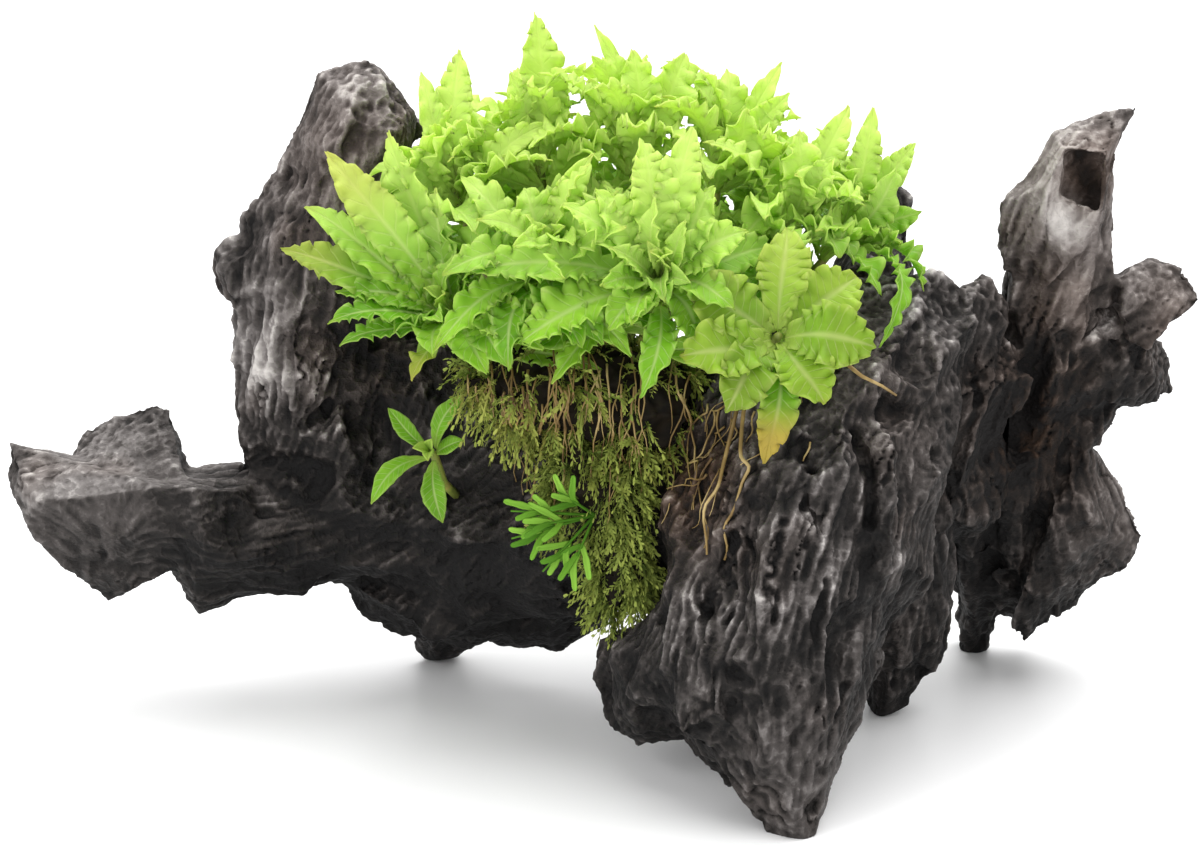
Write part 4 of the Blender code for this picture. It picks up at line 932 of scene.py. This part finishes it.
def fillingLeaves(centre, axis, plan, taken, blanks, dice):
    # leaves in a spiral down the stem, but none over a leaf that is placed already or into the wood
    side = unit(np.cross(axis, (0.3, 1.0, 0.2)))
    other = np.cross(axis, side)
    leaves = []
    number = dice.randrange(9)
    for count, below, lean, length, width, blank in whorls[plan.get("whorls", "mound")]:
        for turn in range(count):
            number += 1
            angle = number * math.radians(leafShape["spiral"]) + dice.uniform(-0.25, 0.25)
            tilt = math.radians(lean + dice.uniform(-12, 12))
            around = side * math.cos(angle) + other * math.sin(angle)
            direction = axis * math.cos(tilt) + around * math.sin(tilt)
            start = centre - axis * below
            reach = withinMound(start, direction, length * dice.uniform(0.82, 1.1))
            tip = start + direction * reach - np.array((0, 0, 0.12 if lean > 70 else 0.0)) * reach
            slimness = width * dice.uniform(0.8, 1.12)
            if below < 2 and any(direction @ one > 0.93 for one in taken):
                continue
            if insideWood(tip) or insideWood(start * 0.4 + tip * 0.6):
                continue
            if tip[2] < leafShape["lowest"] < centre[2] and tip[1] < 8:
                continue
            young = 1.0 if lean < 30 else 0.4 if lean < 50 else 0.0
            foot = start + around * leafShape["start"] * 0.5
            leaves.append(bendLeaf(blanks[blank], foot, tip, slimness, reach * dice.uniform(0.08, 0.18),
                                   axis, dice, young, crispness=plan.get("crispness", 1.0)))
    return leaves


def makeRosette(place, plan, blanks, dice):
    centre = np.array(plan["centre"], float)
    outwards = centre - np.array(leafShape["focus"], float)
    axis = unit(np.array(plan.get("axis", outwards), float))
    leaves = []
    taken = []
    shown = list(plan["outer"].items()) + [("", leaf) for leaf in plan.get("more", [])]
    for name, (tip, width, bow) in shown:
        tip = np.array(tip, float)
        run = unit(tip - centre)
        foot = centre + run * leafShape["start"]
        # an upright leaf shows its face in front
        up = axis if abs(run @ axis) < 0.8 else np.array((0.1, -1.0, 0.3))
        faded = fadedLeaves.get((place, name), plan.get("faded", 0.0))
        leaves.append(bendLeaf(blanks["broad"], foot, tip, width, bow, up, dice, faded=faded,
                               crispness=plan.get("crispness", 1.0), loose=0.3))
        taken.append(run)
    leaves += fillingLeaves(centre, axis, plan, taken, blanks, dice)
    # the stem runs from the bark up to the heart of the rosette
    heart = inFrame(centre)
    root = onWood(heart - axis * leafShape["stemReach"], -1.0)
    middle = root * 0.6 + heart * 0.4 + np.array((dice.uniform(-2, 2), dice.uniform(-2, 2), 0))
    spine = [root, middle, heart - axis * 1.0, heart + axis * 1.5]
    rosette = joinAll(leaves, f"rosette_{place}")
    rosette.data.materials.append(leafMaterial)
    applyModifier(rosette, "SOLIDIFY", thickness=leafShape["thickness"] * mm, offset=0.0)
    stem = tube("stem", spine, leafShape["stem"], stemMaterial, 0.8, 2)
    rosette = joinAll([rosette, stem], f"rosette_{place}")
    shadeSmooth(rosette)
    nodes = [f"crown_{place}"] + [f"leaf_{place}_{name}" for name in plan["outer"]]
    rideAndReplace(rosette, nodes)
    return rosette


leafMaterial = makeLeafMaterial()
# fleshy stem: pale green, with a reddish tan where it is older
stemMaterial = makeStalkMaterial("downoiStem", 5, [(0.35, "#5d6a2a"), (0.55, "#86913f"), (0.75, "#a8854f")])
blanks = {"broad": leafBlank(46, 8), "middle": leafBlank(40, 6), "small": leafBlank(24, 6)}
plantDice = random.Random(5)
rosetteMeshes = [makeRosette(place, plan, blanks, plantDice) for place, plan in rosettes.items()]
print("rosettes grown:", sum(2 * len(r.data.polygons) for r in rosetteMeshes), "triangles")


# Moss, and the ferny shoot beside it

mossPlan = {
    # gaps is the share of the cushion that is left bare, and shade runs from straw (0.2) to deep green (1)
    "moss_upper": {"shoots": 1400, "length": (2.5, 8.0), "clump": 4.5, "gaps": 0.66, "shade": (0.24, 0.78)},
    "moss_lower": {"shoots": 1500, "length": (2.5, 7.5), "clump": 4.0, "gaps": 0.55, "shade": (0.45, 1.0)},
}
shootShape = {"joints": 5, "leaflets": 10, "leafletLength": 0.17, "leafletWidth": 0.075, "stalk": 0.016}
mossShape = {
    "fall": (0, -0.15, -0.4),  # how the shoots lean from the cushion's own facing
    "scatter": 0.5,
    "droop": 0.35,
    "rooted": 1.6,  # how deep in the cushion a shoot starts, in mm
    "coreVoxel": 0.9,
    "coreDepth": 1.5,  # how far the dark core, painted shade inside the cushion, stays below the cushion's outer form, in mm
}


def shootTemplate():
    # one shoot of unit length along z: a thin stalk with leaflets to both sides
    bm = bmesh.new()
    shape = shootShape
    bmesh.ops.create_cone(bm, cap_ends=True, segments=3, radius1=shape["stalk"], radius2=shape["stalk"] * 0.4,
                          depth=1.0, matrix=Matrix.Translation((0, 0, 0.5)))
    upright = [edge for edge in bm.edges if abs(edge.verts[0].co.z - edge.verts[1].co.z) > 0.5]
    bmesh.ops.subdivide_edges(bm, edges=upright, cuts=shape["joints"] - 1)
    for number in range(shape["leaflets"]):
        height = 0.12 + 0.86 * number / shape["leaflets"]
        way = 1 if number % 2 else -1
        size = 1.15 - 0.6 * height
        leaflet = bmesh.ops.create_grid(bm, x_segments=2, y_segments=1, size=0.5)
        for vert in leaflet["verts"]:
            along = vert.co.x + 0.5
            spread = vert.co.y * shape["leafletWidth"] * 2 * (1 - 0.8 * abs(along - 0.35) * 1.4)
            reach = along * shape["leafletLength"] * size
            vert.co = (way * reach * 0.8, spread * 0.5 + 0.03 * along * (1 if number % 3 else -1),
                       height + reach * 0.75 + spread * 0.6)
    mesh = bpy.data.meshes.new("shoot")
    bm.to_mesh(mesh)
    bm.free()
    template = pointsOf(mesh), trianglesOf(mesh)
    bpy.data.meshes.remove(mesh)
    return template


def bendShoots(template, feet, ways, lengths, droop, dice, name, tones):
    # many copies of the shoot in one mesh, each bent towards the ground
    places, faces = template
    count = len(feet)
    helper = unit(dice.normal(size=(count, 3)))
    side = unit(np.cross(ways, helper))
    other = np.cross(ways, side)
    x, y, z = (places[:, axis][None, :, None] for axis in range(3))
    sway = side[:, None, :] * (dice.uniform(-0.35, 0.35, count)[:, None, None] * z ** 2)
    fall = np.array((0, 0, -1.0))[None, None, :] * (droop * z ** 2)
    bent = ways[:, None, :] * z + side[:, None, :] * x + other[:, None, :] * y + sway + fall
    points = feet[:, None, :] + lengths[:, None, None] * bent
    allFaces = (faces[None] + (np.arange(count) * len(places))[:, None, None]).reshape(-1, 3)
    mesh = bpy.data.meshes.new(name)
    mesh.from_pydata((points.reshape(-1, 3) * mm).tolist(), [], allFaces.tolist())
    writeValues(mesh, "tone", np.repeat(tones, len(places)))
    writeValues(mesh, "tip", np.tile(places[:, 2], count))
    return addObject(name, mesh)


def scatterOver(nodeName, count, dice):
    # places and facings spread evenly over a CAD node's faces, in mm
    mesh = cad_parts[nodeName].data
    corners = (pointsOf(mesh) / mm)[trianglesOf(mesh)]
    cross = np.cross(corners[:, 1] - corners[:, 0], corners[:, 2] - corners[:, 0])
    area = np.linalg.norm(cross, axis=1)
    chosen = dice.choice(len(area), count, p=area / area.sum())
    a = np.sqrt(dice.random(count))[:, None]
    b = dice.random(count)[:, None]
    tri = corners[chosen]
    places = (1 - a) * tri[:, 0] + a * (1 - b) * tri[:, 1] + a * b * tri[:, 2]
    return places, unit(cross[chosen])


def makeMossMaterial(name, stops, tipColour):
    # moss: a dark brownish inside that is painted shade, and fresher green towards the tips of its shoots
    made, tree = newMaterial(name)
    tone, tip = (addNode(tree, "Attribute", {"attribute_name": attribute}, output="Fac")
                 for attribute in ("tone", "tip"))
    colour = addNode(tree, "ValToRGB", {"stops": stops}, {"Fac": tone})
    share = addNode(tree, "Math", {"operation": "MULTIPLY"}, {0: tip, 1: 0.6})
    colour = addNode(tree, "Mix", {"data_type": "RGBA"}, {0: share, 6: colour, 7: srgb(tipColour)}, 2)
    endMaterial(tree, addNode(tree, "BsdfPrincipled", inputs={
        "Base Color": colour, "Roughness": 0.75, "IOR": 1.4, "Specular IOR Level": 0.25}))
    return made


def makeMoss(nodeName, plan, template, dice):
    # shoots in clumps over a dark core that fills the cushion with painted shade
    places, facings = scatterOver(nodeName, round(plan["shoots"] / (1 - plan["gaps"])), dice)
    clumps = softNoise(places / plan["clump"])
    kept = clumps > np.quantile(clumps, plan["gaps"])
    places, facings = places[kept], facings[kept]
    scatter = dice.normal(size=facings.shape) * mossShape["scatter"]
    ways = unit(facings * 0.7 + np.array(mossShape["fall"]) + scatter)
    lengths = dice.uniform(*plan["length"], len(places))
    feet = places - facings * mossShape["rooted"]
    tones = dice.uniform(*plan["shade"], len(places))
    shoots = bendShoots(template, feet, ways, lengths, mossShape["droop"], dice, nodeName, tones)
    core = addObject("core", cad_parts[nodeName].data.copy())
    mergeDoubles(core.data)
    core.data.materials.clear()
    applyModifier(core, "REMESH", mode="VOXEL", voxel_size=mossShape["coreVoxel"] * mm)
    corePlaces = pointsOf(core.data).astype(np.float64) / mm
    swell = 1.1 * softNoise(corePlaces / 2.4) - mossShape["coreDepth"]
    movePoints(core.data, (corePlaces + pointsOf(core.data, "normal") * swell[:, None]) * mm)
    # the core's tone takes the near-black end of the ramp: painted shade inside the cushion
    writeValues(core.data, "tone", 0.05 + 0.07 * softNoise(corePlaces / 2))
    moss = joinAll([core, shoots], nodeName.replace("moss_", "mossCushion_"))
    moss.data.materials.clear()
    moss.data.materials.append(mossMaterial)
    shadeSmooth(moss)
    rideAndReplace(moss, [nodeName])
    return moss


# the two darkest stops colour the core, as painted shade
mossMaterial = makeMossMaterial("dampMoss", [
    (0.0, "#0e0b07"), (0.12, "#241c10"), (0.2, "#857a3e"), (0.45, "#69702c"), (0.72, "#465f20"),
    (1.0, "#344c1a")], "#b0bb5a")
# the ferny shoot is an even, fresh green
fernMaterial = makeMossMaterial(
    "fernFrond", [(0.0, "#4a7a1c"), (0.5, "#689a2c"), (1.0, "#84b240")], "#aed068")
shoot = shootTemplate()
mossDice = np.random.default_rng(21)
mossMeshes = [makeMoss(name, plan, shoot, mossDice) for name, plan in mossPlan.items()]
print("moss grown:", sum(len(m.data.polygons) for m in mossMeshes), "faces")


# The ferny shoot: each frond is a stalk that ends in a fan of slim lobes, in mm of the wood's measures.

fernPlan = {
    "centre": (-1, -24, 53), "stalk": 0.7, "lobes": 4, "lobeLength": 7.0, "lobeWidth": 1.3, "thickness": 0.35,
    "fronds": [(-17, -30, 56), (-17, -29, 50), (-11, -31, 44), (-8, -30, 60), (-14, -31, 53), (-6, -31, 43)],
}


def makeFern():
    dice = random.Random(8)
    centre = np.array(fernPlan["centre"], float)
    lobes = []
    stalks = []
    facing = np.array((0.0, -1.0, 0.35))
    for tip in np.array(fernPlan["fronds"], float):
        run = tip - centre
        side = unit(np.cross(run, facing))
        for number in range(fernPlan["lobes"]):
            share = 2 * number / (fernPlan["lobes"] - 1) - 1
            start = centre + run * (0.5 + 0.2 * (1 - abs(share)))
            reach = unit(unit(run) + side * share * 0.75 + facing * dice.uniform(-0.2, 0.4))
            length = fernPlan["lobeLength"] * dice.uniform(0.75, 1.15)
            lobes.append(bendLeaf(blanks["small"], start, start + reach * length, fernPlan["lobeWidth"],
                                  0.4, facing, dice, crispness=0.1, strap=0.8))
        middle = centre + run * 0.5 + facing * 0.6
        route = [inFrame(spot) for spot in (centre, middle, tip)]
        stalks.append(tube("stalk", route, fernPlan["stalk"], fernMaterial, 0.5))
    fern = joinAll(lobes, "fernShoot")
    fern.data.materials.append(fernMaterial)
    applyModifier(fern, "SOLIDIFY", thickness=fernPlan["thickness"] * mm, offset=0.0)
    fern = joinAll([fern] + stalks, "fernShoot")
    shadeSmooth(fern)
    rideAndReplace(fern, ["fern_sprig"])


makeFern()
for blank in blanks.values():
    bpy.data.objects.remove(blank, do_unlink=True)
print("ferny shoot grown")


# Roots: the routes of those that show, in mm of the wood's measures, and the fine ones that hang among them.

rootPlan = {
    "root_left": [(-20, -30, 80), (-23, -32, 72), (-21, -30, 62), (-23, -30, 54)],
    "root_middle": [(18, -34, 80), (17, -36, 72), (20, -38, 64), (19, -38, 57), (22, -38, 50)],
    "root_curled": [(25, -36, 82), (24, -38, 74), (28, -38, 69), (27, -38, 62), (23, -38, 55), (25, -38, 50)],
    "root_right": [(46, -32, 86), (49, -32, 83.5), (53, -30, 81), (56, -28, 78.5)],
}
rootThickness = 0.85
fineRoots = {"count": 22, "thickness": 0.4, "band": ((14, 40), (-34, -20), (66, 84)), "length": (8, 24),
             "step": 1.6}
# Strands that hang in front of the moss and bark below the foliage: across, from what height, and how long.
strands = {"count": 84, "thickness": 0.4, "across": (-26, 19), "from": (74, 88), "length": (8, 30),
           "step": 1.8}


def smoothRoute(points, turns):
    route = np.array(points, float)
    for turn in range(turns):
        route[1:-1] = 0.25 * route[:-2] + 0.5 * route[1:-1] + 0.25 * route[2:]
    return list(route)


def followBark(points, clearance, dice, wobble):
    # four steps to each stretch of the route, each moved a little and laid on the bark
    route = []
    for start, end in zip(np.array(points), np.array(points[1:])):
        for step in range(4):
            route.append(start + (end - start) * step / 4)
    route.append(np.array(points[-1]))
    laid = []
    for point in route:
        point = point + np.array([dice.uniform(-wobble, wobble) for axis in range(3)])
        laid.append(onWood(inFrame(point), clearance))
    return smoothRoute(laid, 3)


coverTrees = [woodTree] + [treeOf(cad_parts[name].data) for name in mossPlan]


def makeRoots():
    dice = random.Random(3)
    # thin living root, from straw to a reddish tan
    rootMaterial = makeStalkMaterial("paleRoot", 6, [(0.3, "#5c4526"), (0.5, "#8a7140"), (0.7, "#bda672")])
    for name, points in rootPlan.items():
        if name == "root_right":  # this one stands off the bark
            route = inFrame(points)
        else:
            route = followBark(points, 0.9, dice, 0.5)
        root = tube(name.replace("_", "Piece_"), route, rootThickness, rootMaterial, 0.5, 2)
        shadeSmooth(root)
        rideAndReplace(root, [name])
    fine = []
    for number in range(fineRoots["count"]):
        start = [dice.uniform(*span) for span in fineRoots["band"]]
        points = [onWood(inFrame(start), 0.5)]
        way = np.array((dice.uniform(-0.5, 0.5), -0.2, -1.0))
        for step in range(int(dice.uniform(*fineRoots["length"]) / fineRoots["step"])):
            veer = np.array([dice.uniform(-0.8, 0.8) for axis in range(3)])
            way = unit(way + veer + np.array((0, 0, -0.25)))
            points.append(onWood(points[-1] + way * fineRoots["step"], 0.55))
        thickness = fineRoots["thickness"] * dice.uniform(0.7, 1.4)
        fine.append(tube("fineRoot", smoothRoute(points, 1), thickness, rootMaterial, 0.4, 1))
    for number in range(strands["count"]):
        across = dice.uniform(*strands["across"])
        height = dice.uniform(*strands["from"])
        points = []
        for step in range(int(dice.uniform(*strands["length"]) / strands["step"])):
            start = Vector((across, -150, height)) * mm
            hits = [tree.ray_cast(start, Vector((0, 1, 0)), 160 * mm)[0] for tree in coverTrees]
            hits = [hit for hit in hits if hit]
            if not hits:
                break
            points.append(np.array(min(hits, key=lambda hit: hit.y)) / mm + np.array((0, -0.6, 0)))
            across += dice.uniform(-1.3, 1.3)
            height -= strands["step"]
        if len(points) > 3:
            thickness = strands["thickness"] * dice.uniform(0.7, 1.4)
            fine.append(tube("strand", smoothRoute(points, 1), thickness, rootMaterial, 0.4, 1))
    roots = joinAll(fine, "fineRoots")
    shadeSmooth(roots)
    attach(roots, "root")


makeRoots()
print("roots laid")


# The pale floor, the soft light and the camera

studio = {
    "floor": "#f7f7f7", "sky": 0.68,
    "sun": 4.0, "sunSpread": 70.0, "sunFrom": (0.16, 0.22, 1.0),
    "lens": 85.0, "elevation": 18.0, "distance": 566.7, "lookAt": (0, 0, 64),
}
# Soft boxes: place and aim in mm, side in mm, watts.
lamps = {
    "leftBox": ((-700, -420, 500), (0, 0, 60), 500, 3.0),
    "frontBox": ((100, -900, 420), (0, 0, 50), 600, 1.5),
}


def makeStudio():
    deselectAll()
    bpy.ops.mesh.primitive_plane_add(size=8)
    floor = bpy.context.object
    floor.name = "floor"
    made, tree = newMaterial("paleFloor")
    endMaterial(tree, addNode(tree, "BsdfPrincipled", inputs={
        "Base Color": srgb(studio["floor"]), "Roughness": 0.3, "Specular IOR Level": 0.4}))
    floor.data.materials.append(made)
    for name, (place, aim, side, watts) in lamps.items():
        turn = (Vector(aim) - Vector(place)).to_track_quat("-Z", "Y").to_euler()
        bpy.ops.object.light_add(type="AREA", location=Vector(place) * mm, rotation=turn)
        lamp = bpy.context.object
        lamp.name = name
        lamp.data.shape = "SQUARE"
        lamp.data.size = side * mm
        lamp.data.energy = watts
    turn = Vector(studio["sunFrom"]).to_track_quat("Z", "Y").to_euler()
    bpy.ops.object.light_add(type="SUN", location=(0, 0, 1), rotation=turn)
    sun = bpy.context.object
    sun.name = "ceilingLight"
    sun.data.energy = studio["sun"]
    sun.data.angle = math.radians(studio["sunSpread"])
    world = bpy.data.worlds.new("studioWhite")
    world.use_nodes = True
    sky = world.node_tree.nodes["Background"]
    sky.inputs["Color"].default_value = (1, 1, 1, 1)
    sky.inputs["Strength"].default_value = studio["sky"]
    bpy.context.scene.world = world
    bpy.context.scene.view_settings.view_transform = "Standard"


def makeCamera():
    angle = math.radians(studio["elevation"])
    aim = Vector(inFrame(studio["lookAt"])) * mm
    back = Vector((0, -math.cos(angle), math.sin(angle)))
    place = aim + back * studio["distance"] * mm
    bpy.ops.object.camera_add(location=place, rotation=(-back).to_track_quat("-Z", "Y").to_euler())
    camera = bpy.context.object
    camera.data.lens = studio["lens"]
    camera.data.sensor_width = 36.0
    bpy.context.scene.camera = camera


makeStudio()
makeCamera()
